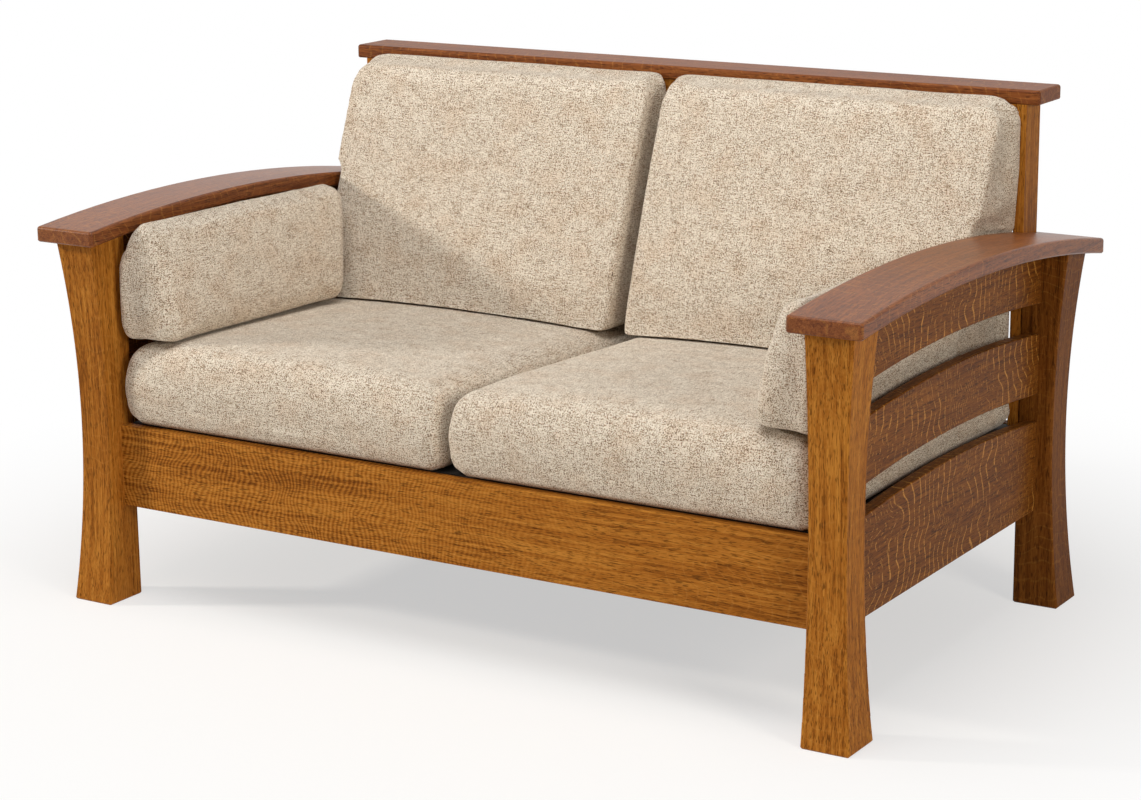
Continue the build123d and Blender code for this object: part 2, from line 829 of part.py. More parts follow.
def seat_cushion():
    """The +X seat cushion: a deep block with a blunt rounded nose and a crowned top."""
    low_x = seat_middle_gap / 2
    length = leg_inner_x - seat_outer_gap - low_x
    bottom = seat_rail_top + soft_clearance
    sections = []
    for distance in end_stations(length, seat_side_reach):
        inset = eased(min(distance, length - distance), seat_side_reach)
        front = seat_front_y + seat_nose_swell + inset * seat_corner_inset
        rear = back_front_y - seat_rear_gap - inset * seat_rear_inset
        top = seat_top(distance, length)
        rear_top = top - seat_slope_share * (rear - front)
        low = bottom + inset * seat_side_rise_share * (rear_top - bottom)
        high = top - inset * seat_side_fall_share * (top - bottom)
        rear_high = rear_top - inset * seat_side_fall_share * (rear_top - bottom)
        tall = high - low
        corner = seat_rear_round * (1 - inset * (seat_side_fall_share + seat_side_rise_share))
        points = [
            (front + seat_nose * seat_nose_shares[0][0], low + tall * seat_nose_shares[0][1]),
            (rear - corner, low),
            (rear, low + corner),
            (rear, rear_high - corner),
            (rear - corner, rear_high),
            (front + seat_nose * seat_nose_shares[3][0], low + tall * seat_nose_shares[3][1]),
            (front + seat_nose * seat_nose_shares[2][0], low + tall * seat_nose_shares[2][1]),
            (front + seat_nose * seat_nose_shares[1][0], low + tall * seat_nose_shares[1][1]),
        ]
        swells = [
            0,
            corner / 4,
            corner / 8,
            corner / 4,
            seat_swell,
            seat_nose_swell / 2,
            seat_nose_swell,
            seat_nose_swell / 3,
        ]
        sections.append(soft_section(Plane.YZ.offset(low_x + distance), points, swells))
    return lofted(sections)


def arm_cushion():
    """The +X arm cushion: a wedge that stands on the seat under the arm cap."""
    outer = leg_inner_x - arm_outer_gap
    inner = outer - arm_base_width
    length = arm_rear_y - arm_front_y
    seat_distance = leg_inner_x - seat_outer_gap - inner - arm_base_round
    runs = [length * step / arm_base_steps for step in range(arm_base_steps + 1)]
    seats = [seat_height(seat_distance, arm_front_y + run) for run in runs]
    heights = [seat + arm_bottom_pitch_share * run for seat, run in zip(seats, runs)]
    base_front = max(heights) + soft_clearance
    front_height = (bow_under(arm_front_y) - base_front) * arm_height_share
    round_drop = front_height * arm_outer_round_share
    outer_drop = round_drop + front_height * arm_outer_shoulder_share
    base_lift = front_height * arm_base_round_share
    sections = []
    for distance in end_stations(length, arm_end_reach):
        share = distance / length
        end_share = eased(min(distance, length - distance), arm_end_reach)
        inset = front_height * arm_end_inset_share * end_share
        lean = arm_rear_lean_share * share
        stretch = sqrt(1 + lean**2)
        base = base_front - arm_bottom_pitch_share * distance
        low = inset
        high = (front_height + arm_crown * 4 * share * (1 - share) - inset) * stretch
        left = inner + inset * arm_inset_shares[0]
        right = outer - inset * arm_inset_shares[1]
        top_left = outer - arm_top_width + inset * arm_inset_shares[0]
        points = [
            (left + arm_base_round, low),
            (right - arm_base_round, low),
            (right, low + base_lift),
            (right, high - outer_drop),
            (right - arm_outer_shoulder / 2, high - round_drop),
            (right - arm_outer_round, high),
            (top_left, high - front_height * arm_shoulder_drop_share),
            (left, low + base_lift),
        ]
        swells = [
            0,
            arm_edge_swell,
            arm_edge_swell / 4,
            arm_edge_swell,
            arm_edge_swell,
            arm_edge_swell,
            arm_face_swell,
            arm_edge_swell,
        ]
        origin = (0, arm_front_y + distance, base)
        plane = Plane(origin=origin, x_dir=(1, 0, 0), z_dir=(0, -1, lean))
        sections.append(soft_section(plane, points, swells))
    return lofted(sections)


def back_cushion():
    """The +X back cushion: a wedge that leans on the back, wider above the arm cap than below it."""
    rear = crest_front_y - soft_clearance
    inner = back_middle_gap
    outer = cap_inner_x - soft_clearance - back_side_swell
    seat_middle = (leg_inner_x - seat_outer_gap - seat_middle_gap / 2) / 2
    low_z = seat_height(seat_middle, rear - back_base_depth - back_face_swell) + soft_clearance
    cap_top = bow_height(rear - back_base_depth) + soft_clearance - low_z
    sections = []
    heights = [back_base_reach * share for share in end_station_shares]
    heights += [back_cushion_height * share for share in middle_station_shares]
    heights += [back_cushion_height - back_top_reach * share for share in end_station_shares]
    heights += [cap_top, cap_top + back_over_cap_reach]
    for height in sorted(heights):
        inset = back_base_inset * eased(height, back_base_reach)
        inset += back_top_inset * eased(back_cushion_height - height, back_top_reach)
        left = inner + inset * back_inset_shares[0]
        spread = min(1, max(0, (height - cap_top) / back_over_cap_reach))
        right = outer + spread * back_over_cap - inset * back_inset_shares[1]
        lean = back_lean * height / back_cushion_height
        front = rear - back_base_depth + lean + inset * back_inset_shares[2]
        side_round = back_side_round * (rear - front) / back_base_depth
        points = [
            (left + side_round, front),
            (right - side_round, front),
            (right, front + side_round),
            (right, rear - back_rear_round),
            (right - back_rear_round, rear),
            (left + back_rear_round, rear),
            (left, rear - back_rear_round),
            (left, front + side_round),
        ]
        swells = [
            back_face_swell,
            back_side_swell,
            back_side_swell / 2,
            back_side_swell,
            0,
            back_side_swell,
            back_side_swell / 2,
            back_side_swell,
        ]
        sections.append(soft_section(Plane.XY.offset(low_z + height), points, swells))
    return lofted(sections)


# Legs, arm caps and side frames
front_joints, rear_joints = side_joints()
front_rail_mid_y = front_rail_y + board / 2
rear_rail_mid_y = rear_rail_y - board / 2
front_leg = leg(front_y, front_leg_back_y, front_rail_mid_y, front_joints, [])
rear_leg = leg(rear_y, rear_leg_front_y, rear_rail_mid_y, rear_joints, stile_screw_places())
save_pair(front_leg, "front_leg")
save_pair(rear_leg, "rear_leg")
save_pair(arm_cap(), "arm_cap")
bottom_rail = side_piece(rail_bottom, 0, bottom_rail_top, side_bow, front_joints[0], rear_joints[0])
middle_slat = side_piece(slat_bottom, side_bow, slat_top, side_bow, front_joints[1], rear_joints[1])
top_rail = side_piece(top_rail_bottom, side_bow, None, 0, front_joints[2], rear_joints[2])
save_pair(bottom_rail, "side_bottom_rail")
save_pair(middle_slat, "side_middle_slat")
save_pair(top_rail, "side_top_rail")

# Seat rails and their cleats
front_row, rear_row = deck_screw_places()
save(seat_rail(front_rail_mid_y, 1), "front_rail")
save(seat_rail(rear_rail_mid_y, -1), "rear_rail")
save(centre_rail(), "centre_rail")
save(cleat(front_rail_back_y, 1, front_row), "front_cleat")
save(cleat(rear_rail_front_y, -1, rear_row), "rear_cleat")

# Back
save_pair(stile(), "back_stile")
save(back_rail(*back_rail_spans()[0]), "back_bottom_rail")
save(back_rail(*back_rail_spans()[1]), "back_top_rail")
save(crest(), "crest_cap")
for index, x in enumerate(back_slat_places()):
    with BuildPart() as slat:
        back_slat(x, 0)
    save(slat, f"back_slat_{index + 1}")

# Seat deck
save(deck_board(deck_front_y + deck_board_width / 2, front_row), "deck_front_board")
save(deck_board(deck_rear_y - deck_board_width / 2, rear_row), "deck_rear_board")
for name, x in zip(("left_board", "centre_board", "right_board"), deck_cross_places()):
    save(deck_cross_board(x), f"deck_{name}")
for index, x in enumerate(spring_places()):
    save(spring(x), f"seat_spring_{index + 1}")
save(clips(), "spring_clips")
save(deck_cloth(), "deck_cloth")

# Screws
with BuildPart() as stile_screws:
    for x, y, z in stile_screw_places():
        screw((x, y, z), (1, 0, 0), stile_screw_length, 0)
        screw((-x, y, z), (-1, 0, 0), stile_screw_length, 0)
save(stile_screws, "stile_screws")
with BuildPart() as cleat_screws:
    for start in cleat_screw_places(front_rail_back_y + cleat_size):
        screw(start, (0, -1, 0), cleat_screw_length, 0)
    for start in cleat_screw_places(rear_rail_front_y - cleat_size):
        screw(start, (0, 1, 0), cleat_screw_length, 0)
save(cleat_screws, "cleat_screws")
with BuildPart() as deck_screws:
    for start in front_row + rear_row:
        screw(start, (0, 0, -1), deck_screw_length, 0)
save(deck_screws, "deck_screws")

# Dowels
with BuildPart() as cap_dowels:
    for y in (front_y + leg_depth / 2, rear_y - leg_depth / 2):
        for x in cap_dowel_places():
            z = bow_under(y) + cap_dowel_depth - cap_dowel_length
            peg((x, y, z), (0, 0, 1), cap_dowel_diameter, cap_dowel_length)
            peg((-x, y, z), (0, 0, 1), cap_dowel_diameter, cap_dowel_length)
save(cap_dowels, "arm_cap_dowels")
with BuildPart() as crest_dowels:
    for place in crest_dowel_places():
        start = (*place, crest_bottom + crest_dowel_depth - crest_dowel_length)
        peg(start, (0, 0, 1), crest_dowel_diameter, crest_dowel_length)
save(crest_dowels, "crest_dowels")

# Cushions
save_pair(seat_cushion(), "seat_cushion")
save_pair(arm_cushion(), "arm_cushion")
save_pair(back_cushion(), "back_cushion")
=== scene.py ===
"""Two-seat oak settee: stained quarter-sawn boards and six loose tweed cushions."""

import math

import bpy
import numpy as np
from bpy.props import FloatProperty, FloatVectorProperty, IntProperty, PointerProperty
from mathutils import Matrix, Vector
from mathutils.bvhtree import BVHTree


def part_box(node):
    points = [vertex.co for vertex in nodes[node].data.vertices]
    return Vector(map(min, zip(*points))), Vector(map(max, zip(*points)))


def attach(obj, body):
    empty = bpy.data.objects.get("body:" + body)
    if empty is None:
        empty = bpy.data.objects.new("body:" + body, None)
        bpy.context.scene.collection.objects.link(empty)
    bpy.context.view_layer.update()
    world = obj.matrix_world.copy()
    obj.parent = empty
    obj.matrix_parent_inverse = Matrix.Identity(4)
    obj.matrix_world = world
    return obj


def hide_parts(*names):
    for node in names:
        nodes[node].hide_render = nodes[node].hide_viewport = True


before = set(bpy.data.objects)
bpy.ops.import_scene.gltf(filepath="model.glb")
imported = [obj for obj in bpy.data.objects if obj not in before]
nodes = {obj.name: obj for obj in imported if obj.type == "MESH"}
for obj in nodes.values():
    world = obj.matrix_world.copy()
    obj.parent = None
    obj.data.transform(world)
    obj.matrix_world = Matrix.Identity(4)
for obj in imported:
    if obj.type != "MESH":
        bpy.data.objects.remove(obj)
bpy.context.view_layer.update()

bl_info = {
    "name": "Oak settee",
    "version": (1, 0, 0),
    "blender": (4, 5, 0),
    "location": "3D View > Sidebar > Settee",
    "description": "Dresses the settee's frame and makes its loose cushions",
    "category": "Object",
}

# Where the frame holds the cushions, in metres
CAP_INNER_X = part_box("arm_cap_right")[0].x
LEG_INNER_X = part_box("front_leg_right")[0].x
RAIL_TOP_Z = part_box("deck_cloth")[1].z
CREST_FRONT_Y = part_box("crest_cap")[0].y

WEAVE_UV = "weave"
DOWN = Vector((0, 0, -1))
SIDES = (("right", 1), ("left", -1))

# Kinds of node that are used often; a Mix of colours has its share and colours at 0, 6 and 7
MATH = "ShaderNodeMath"
VECTOR_MATH = "ShaderNodeVectorMath"
MAP_RANGE = "ShaderNodeMapRange"
MIX = "ShaderNodeMix"
RAMP = "ShaderNodeValToRGB"

# Turns that bring a board's length to the X axis of its pattern
GRAIN_TURNS = {
    "x": (0, 0, 0),
    "y": (0, 0, -math.pi / 2),
    "z": (0, math.pi / 2, 0),
}


def linear(hex_colour):
    """An sRGB hex colour as linear RGB."""
    channels = [int(hex_colour[i : i + 2], 16) / 255 for i in (1, 3, 5)]
    return [c / 12.92 if c <= 0.04045 else ((c + 0.055) / 1.055) ** 2.4 for c in channels]


def colour_property(name, description, hex_colour):
    """A colour setting with its default written in hex."""
    return FloatVectorProperty(
        name=name,
        description=description,
        subtype="COLOR",
        size=3,
        min=0,
        max=1,
        default=linear(hex_colour),
    )


def length_property(name, description, metres):
    """A length setting in metres."""
    return FloatProperty(name=name, description=description, default=metres, unit="LENGTH")


class SetteeSizes(bpy.types.PropertyGroup):
    """Sizes of the cushions' fabric and filling."""

    mesh_step: length_property(
        "Mesh step", "Spacing of the cloth mesh before it is smoothed", 0.008
    )
    arm_mesh_step: length_property(
        "Arm mesh step", "Spacing of the cloth mesh on the smaller arm cushions", 0.006
    )
    tuck: length_property("Tuck", "How far a cover is drawn in before it is filled", 0.005)
    seat_puff: length_property(
        "Seat puff", "Most that the filling moves a seat cushion's cover", 0.008
    )
    back_puff: length_property(
        "Back puff", "Most that the filling moves a back cushion's cover", 0.007
    )
    arm_puff: length_property(
        "Arm puff", "Most that the filling moves an arm cushion's cover", 0.005
    )
    rest_fade: length_property(
        "Rest fade", "Distance over which a cover begins to swell from where it rests", 0.035
    )
    cap_bulge: length_property(
        "Cap bulge", "Height over which a back cover widens above the arm cap", 0.11
    )
    cap_step: length_property(
        "Cap step", "Width and height of the first fold of a back cover over the arm cap", 0.0035
    )
    cap_spread: length_property(
        "Cap spread", "Most that a back cover's rear corner spreads over the arm cap", 0.012
    )
    seam_reach: length_property(
        "Seam reach", "How far round a back cover's rear side seam draws its corner out", 0.022
    )
    fill_pressure: FloatProperty(
        name="Fill pressure",
        description="Pressure of the filling against the cover",
        default=4.0,
    )
    fill_frames: IntProperty(
        name="Fill frames",
        description="Frames for which the filling is simulated",
        default=20,
    )
    skin: length_property("Skin", "How far inside its solid a cushion's cover stays", 0.0003)
    soft_gap: length_property("Soft gap", "Room between a cushion and what it lies on", 0.0005)
    middle_gap: length_property(
        "Middle gap", "Room between a seat cover and the settee's middle", 0.0012
    )
    thread_pitch: length_property(
        "Thread pitch", "Spacing of the tweed's threads, coarser than life to show", 0.0018
    )
    slub_length: length_property(
        "Slub length", "Length of the thick places in the tweed's yarn", 0.014
    )
    back_sag: length_property(
        "Back sag", "Most that a back cushion's underside sinks to meet the seat", 0.016
    )
    arm_sag: length_property(
        "Arm sag", "Most that an arm cushion's underside sinks to meet the seat", 0.004
    )
    pressed_height: length_property(
        "Pressed height", "Height over which a cushion's lower edge is pressed flat", 0.045
    )
    settle_height: length_property(
        "Settle height", "Height above a cushion's underside over which its sinking fades out", 0.12
    )
    settle_inset: length_property(
        "Settle inset", "How far inside a seat's edge the cushions above it find its top", 0.03
    )
    zip_length: length_property(
        "Zip length", "Length of the zip in the rear of a back cover", 0.5
    )
    zip_pitch: length_property(
        "Zip pitch", "Spacing of a zip's teeth, drawn coarser than life", 0.004
    )
    zip_lift: length_property(
        "Zip lift", "How far a zip's teeth and tape stand off the cloth", 0.0006
    )
    zip_rise: length_property(
        "Zip rise", "Height of the zip above the lowest point of a back cover", 0.045
    )
    zip_width: length_property("Zip width", "Width of a zip's tape", 0.022)


class SetteeColours(bpy.types.PropertyGroup):
    """Colours of the wood, the fabric and the stage."""

    oak_dark: colour_property("Oak, late wood", "Darkest grain of the stained oak", "#703e10")
    oak_mid: colour_property("Oak, middle", "Main colour of the stained oak", "#9e6020")
    oak_light: colour_property("Oak, early wood", "Lightest grain of the stained oak", "#ba7c31")
    oak_ray: colour_property("Oak, ray fleck", "Shiny flecks across quarter-sawn grain", "#c98f45")
    # The side tones also colour the rear legs, where their darkness is partly painted shade
    side_dark: colour_property("Side, late wood", "Darkest grain of the side boards", "#4c270b")
    side_mid: colour_property("Side, middle", "Main colour of the side boards", "#6f3f14")
    side_light: colour_property("Side, early wood", "Lightest grain of the side boards", "#865220")
    cap_dark: colour_property("Cap, late wood", "Darkest grain of the caps", "#582c14")
    cap_mid: colour_property("Cap, middle", "Main colour of the caps", "#76401c")
    cap_light: colour_property("Cap, early wood", "Lightest grain of the caps", "#90562a")
    poplar: colour_property("Poplar", "Unfinished wood of the deck boards", "#b58c5c")
    beech: colour_property("Beech", "Unfinished wood of the dowels", "#c39b69")
    cloth_dark: colour_property("Deck cloth, dark", "Shaded threads of the deck cloth", "#17130f")
    cloth_light: colour_property("Deck cloth, light", "Raised threads of the deck cloth", "#352c25")
    spring_steel: colour_property("Spring steel", "Oil-tempered wire of the springs", "#55575a")
    zinc: colour_property("Zinc", "Plating of the screws", "#b9bbbd")
    tweed_cream: colour_property("Tweed, cream", "Lightest yarn of the tweed", "#e5dccd")
    tweed_beige: colour_property("Tweed, beige", "Main yarn of the tweed", "#c9bca8")
    tweed_brown: colour_property("Tweed, brown", "Brown flecks in the tweed", "#84694c")
    tweed_dark: colour_property("Tweed, dark", "Darkest flecks in the tweed", "#453123")
    tweed_rust: colour_property("Tweed, rust", "Reddish flecks in the tweed", "#a56d4a")
    tweed_blush: colour_property("Tweed, blush", "Warm tint of the tweed's patches", "#e8cdb4")
    zip_tape: colour_property("Zip", "Tape and teeth of the zips", "#8a7355")
    floor: colour_property("Floor", "Pale studio floor", "#f4f2ef")


def sizes():
    return bpy.context.scene.settee_sizes


def colours():
    return bpy.context.scene.settee_colours


def add_node(tree, kind, inputs=(), stops=(), **settings):
    """Adds a node with its settings, a value or link for each input, and a ramp's stops.

    Inputs are given in order, or by number or name. A node stands for its first live output.
    """
    node = tree.nodes.new(kind)
    for key, value in settings.items():
        setattr(node, key, value)
    for key, value in inputs.items() if isinstance(inputs, dict) else enumerate(inputs):
        socket = node.inputs[key]
        if isinstance(value, bpy.types.Node):
            value = next(output for output in value.outputs if output.enabled)
        if isinstance(value, bpy.types.NodeSocket):
            tree.links.new(value, socket)
        elif socket.type == "RGBA":
            socket.default_value = (*value[:3], 1)
        else:
            socket.default_value = value
    for index, (position, colour) in enumerate(stops):
        elements = node.color_ramp.elements
        element = elements[index] if index < len(elements) else elements.new(position)
        element.position = position
        element.color = (*colour[:3], 1)
    return node


def new_material(name):
    """A material and its node tree, still empty."""
    material = bpy.data.materials.new(name)
    material.use_nodes = True
    material.node_tree.nodes.clear()
    return material, material.node_tree


def finish_material(tree, colour, roughness, relief=None, others=None):
    """The shader of a material; relief is a height, the bump's strength and its depth in metres."""
    inputs = {"Base Color": colour, "Roughness": roughness, **(others or {})}
    if relief:
        bump = dict(zip(("Height", "Strength", "Distance"), relief))
        inputs["Normal"] = add_node(tree, "ShaderNodeBump", bump)
    shader = add_node(tree, "ShaderNodeBsdfPrincipled", inputs)
    add_node(tree, "ShaderNodeOutputMaterial", [shader])


def pattern(tree, place, lengths, detail=2.0, roughness=0.5, shift=(0, 0, 0)):
    """Noise whose forms have these lengths in metres along the three axes."""
    scale = [1 / length for length in lengths]
    scaled = {"Vector": place, "Location": shift, "Scale": scale}
    inputs = {
        "Vector": add_node(tree, "ShaderNodeMapping", scaled),
        "Scale": 1.0,
        "Detail": detail,
        "Roughness": roughness,
    }
    return add_node(tree, "ShaderNodeTexNoise", inputs)


def weighted_sum(tree, *parts):
    """The sum of values, each with its weight."""
    total = 0.0
    for value, weight in parts:
        total = add_node(tree, MATH, [value, weight, total], operation="MULTIPLY_ADD")
    return total


def grain_place(tree, grain):
    """A point's place in its object's own coordinates, turned so that X is along the grain."""
    place = add_node(tree, "ShaderNodeTexCoord").outputs["Object"]
    return add_node(tree, "ShaderNodeMapping", {"Vector": place, "Rotation": GRAIN_TURNS[grain]})


def bands(tree, along, spacing, wander, reach):
    """Wavy bands across the grain: -1 to 1 with the given spacing, moved about by a noise."""
    moved = add_node(tree, MATH, [wander, reach, along], operation="MULTIPLY_ADD")
    angle = add_node(tree, MATH, [moved, 2 * math.pi / spacing], operation="MULTIPLY")
    return add_node(tree, MATH, [angle], operation="SINE")


def stained_oak(name, grain, tones, fleck=0.5, ripple=0.0, gloss=0.36, shine=0.04):
    """Quarter-sawn white oak, golden stained and lacquered.

    It shows straight dark lines of late wood, short open pores, golden rays that wander across
    the grain, on some boards a fine ripple, and the even shine of a satin top coat.
    """
    dark, mid, light, ray = tones
    material, tree = new_material(name)
    turned = grain_place(tree, grain)
    along = add_node(tree, "ShaderNodeSeparateXYZ", [turned]).outputs["X"]

    # The grain wanders by a few millimetres over a hand's length
    sway_reach = 0.018
    sway = pattern(tree, turned, (0.35, 0.09, 0.09)).outputs["Color"]
    sway = add_node(tree, VECTOR_MATH, [sway, (0.5, 0.5, 0.5)], operation="SUBTRACT")
    sway = add_node(tree, VECTOR_MATH, {0: sway, "Scale": sway_reach}, operation="SCALE")
    line = add_node(tree, VECTOR_MATH, [turned, sway], operation="ADD")

    # Growth rings 5.5 mm apart, streaks 1.5 mm wide, and open pores 15 mm long, coarser than life
    rings = pattern(tree, line, (0.30, 0.0055, 0.0055), detail=3.0, roughness=0.6)
    streaks = pattern(tree, line, (0.07, 0.0015, 0.0015), roughness=0.7)
    pores = pattern(tree, line, (0.015, 0.0012, 0.0012), detail=1.0)
    patches = pattern(tree, turned, (0.45, 0.12, 0.12))
    tone = weighted_sum(tree, (rings, 0.48), (streaks, 0.34), (patches, 0.18))

    # Ripple: soft bands 8.5 mm apart that cross a board and fade out along it
    if ripple:
        ripple_spacing = 0.0085
        ripple_start, ripple_end = -0.15, 0.35
        wander = pattern(tree, turned, (0.30, 0.16, 0.16), detail=3.0)
        fade = add_node(tree, MAP_RANGE, [along, ripple_start, ripple_end, 1.0, 0.0])
        wave = [bands(tree, along, ripple_spacing, wander, 0.16), fade]
        wave = add_node(tree, MATH, wave, operation="MULTIPLY")
        tone = add_node(tree, MATH, [wave, ripple, tone], operation="MULTIPLY_ADD")
    colour = add_node(tree, RAMP, [tone], [(0.36, dark), (0.47, mid), (0.60, light)])

    # Rays: golden lines 22 mm apart that arch across the grain, and dashes 9 mm apart elsewhere
    ray_spacing, dash_spacing = 0.022, 0.009
    bend = pattern(tree, turned, (0.24, 0.11, 0.11), shift=(3, 1, 2))
    arches = add_node(tree, MAP_RANGE, [bands(tree, along, ray_spacing, bend, 0.15), 0.86, 0.98])
    dashes = bands(tree, along, dash_spacing, bend, 0.22)
    dashes = add_node(tree, MAP_RANGE, [dashes, 0.72, 0.96, 0.0, 0.8])
    broken = pattern(tree, line, (0.006, 0.011, 0.011), detail=1.0)
    shown = pattern(tree, turned, (0.20, 0.10, 0.10), detail=1.0, shift=(5, 2, 7))
    arch_runs = add_node(tree, MAP_RANGE, [broken, 0.36, 0.44])
    dash_runs = add_node(tree, MAP_RANGE, [broken, 0.50, 0.60])
    arched = add_node(tree, MAP_RANGE, [shown, 0.44, 0.52])
    arches = add_node(tree, MATH, [arches, arch_runs], operation="MULTIPLY")
    dashes = add_node(tree, MATH, [dashes, dash_runs], operation="MULTIPLY")
    rays = add_node(tree, MIX, {0: arched, 6: dashes, 7: arches}, data_type="RGBA")
    rays = add_node(tree, MATH, [rays, fleck], operation="MULTIPLY")
    colour = add_node(tree, MIX, {0: rays, 6: colour, 7: ray}, data_type="RGBA")

    open_pores = add_node(tree, MAP_RANGE, [pores, 0.36, 0.45, 0.7, 0.0])
    filler = [c * 0.4 for c in dark]
    colour = add_node(tree, MIX, {0: open_pores, 6: colour, 7: filler}, data_type="RGBA")
    rough = add_node(tree, MATH, [streaks, 0.16, gloss], operation="MULTIPLY_ADD")
    height = add_node(tree, MATH, [streaks, 0.4], operation="MULTIPLY")
    height = add_node(tree, MATH, [height, open_pores], operation="SUBTRACT")
    finish_material(tree, colour, rough, (height, 0.12, 0.0004), {"Specular IOR Level": shine})
    return material


def yarns(tree, x, x_scale, y, y_scale):
    """Uneven colour along a set of yarns, from their number and the place along them."""
    place = [
        add_node(tree, MATH, [value, scale], operation="MULTIPLY")
        for value, scale in ((x, x_scale), (y, y_scale))
    ]
    inputs = {
        "Vector": add_node(tree, "ShaderNodeCombineXYZ", place),
        "Scale": 1.0,
        "Detail": 3.0,
        "Roughness": 0.7,
    }
    return add_node(tree, "ShaderNodeTexNoise", inputs)


def tweed(name):
    """Cream wool tweed: a plain weave of uneven yarns with brown and rust flecks, quite matt."""
    material, tree = new_material(name)
    pitch = sizes().thread_pitch
    slub = sizes().slub_length
    c = colours()
    place = add_node(tree, "ShaderNodeUVMap", uv_map=WEAVE_UV)
    split = add_node(tree, "ShaderNodeSeparateXYZ", [place])
    across, up = split.outputs["X"], split.outputs["Y"]
    counts = [add_node(tree, MATH, [v, 1 / pitch], operation="MULTIPLY") for v in (across, up)]
    warp_count, weft_count = (add_node(tree, MATH, [v], operation="FLOOR") for v in counts)

    # Each yarn has its own run of colour along its length, unlike its neighbours'
    unlike = 7.3
    warp = yarns(tree, warp_count, unlike, up, 1 / slub)
    weft = yarns(tree, across, 1 / slub, weft_count, unlike)
    crossings = add_node(tree, MATH, [warp_count, weft_count], operation="ADD")
    over = add_node(tree, MATH, [crossings, 2.0], operation="FLOORED_MODULO")
    yarn = add_node(tree, MIX, {0: over, 6: warp, 7: weft}, data_type="RGBA")

    # Specks as wide as a thread, and clouds 30 mm wide
    specks = pattern(tree, place, (pitch * 1.2, pitch * 1.2, pitch), roughness=0.8)
    cloud = pattern(tree, place, (0.03, 0.03, 0.03), detail=3.0)
    tone = weighted_sum(tree, (yarn, 0.42), (specks, 0.53), (cloud, 0.05))
    yarn_colours = (c.tweed_dark, c.tweed_brown, c.tweed_beige, c.tweed_cream)
    colour = add_node(tree, RAMP, [tone], zip((0.38, 0.44, 0.49, 0.54), yarn_colours))
    rust = pattern(tree, place, (pitch * 2, pitch * 1.5, pitch), detail=1.0, shift=(7, 3, 0))
    rust = add_node(tree, MAP_RANGE, [rust, 0.58, 0.70, 0.0, 0.35])
    colour = add_node(tree, MIX, {0: rust, 6: colour, 7: c.tweed_rust}, data_type="RGBA")
    blush = pattern(tree, place, (0.06, 0.05, 0.06), shift=(2, 9, 0))
    blush = add_node(tree, MAP_RANGE, [blush, 0.46, 0.66, 0.0, 0.24])
    tinted = {0: blush, 6: colour, 7: c.tweed_blush}
    colour = add_node(tree, MIX, tinted, data_type="RGBA", blend_type="MULTIPLY")
    wool = {"Sheen Weight": 0.15, "Sheen Roughness": 0.6, "Specular IOR Level": 0.15}
    finish_material(tree, colour, 0.95, (tone, 0.6, 0.0015), wool)
    return material


def plain_wood(name, grain, base):
    """Unfinished poplar or beech: pale, matt, with faint streaks 4 mm wide along the grain."""
    material, tree = new_material(name)
    streaks = pattern(tree, grain_place(tree, grain), (0.25, 0.004, 0.004), detail=3.0)
    colour = add_node(tree, RAMP, [streaks], [(0.35, [c * 0.66 for c in base]), (0.62, base)])
    finish_material(tree, colour, 0.75, (streaks, 0.2, 0.0003))
    return material


def woven_cambric(name):
    """Black polypropylene deck cloth: an even weave 2.5 mm wide with a slight dry shine."""
    material, tree = new_material(name)
    c = colours()
    place = add_node(tree, "ShaderNodeTexCoord").outputs["Object"]
    threads = pattern(tree, place, (0.0025, 0.0025, 0.0025), detail=1.0)
    colour = add_node(tree, RAMP, [threads], [(0.40, c.cloth_dark), (0.62, c.cloth_light)])
    finish_material(tree, colour, 0.8, (threads, 0.3, 0.0006))
    return material


def steel(name, base, rough):
    """Drawn or plated steel: grey, with scuffs 6 mm wide in its shine."""
    material, tree = new_material(name)
    place = add_node(tree, "ShaderNodeTexCoord").outputs["Object"]
    scuffs = pattern(tree, place, (0.006, 0.006, 0.006), detail=3.0)
    colour = add_node(tree, RAMP, [scuffs], [(0.35, [c * 0.7 for c in base]), (0.65, base)])
    roughness = add_node(tree, MATH, [scuffs, 0.2, rough], operation="MULTIPLY_ADD")
    finish_material(tree, colour, roughness, others={"Metallic": 1.0})
    return material


def nylon_zip(name):
    """Woven polyester tape with a moulded nylon coil: mid brown, with a soft low shine."""
    material, tree = new_material(name)
    place = add_node(tree, "ShaderNodeTexCoord").outputs["Object"]
    threads = pattern(tree, place, (0.0016, 0.0016, 0.0008), detail=1.0)
    base = colours().zip_tape
    colour = add_node(tree, RAMP, [threads], [(0.38, [c * 0.62 for c in base]), (0.62, base)])
    finish_material(tree, colour, 0.5, (threads, 0.3, 0.0003))
    return material


def dress(names, material):
    """Gives each named frame node one material."""
    for name in names:
        slots = nodes[name].material_slots
        for slot in slots:
            slot.material = material
        if not slots:
            nodes[name].data.materials.append(material)


def both(*names):
    """The left and the right node of each name."""
    return [f"{name}_{side}" for name in names for side in ("left", "right")]


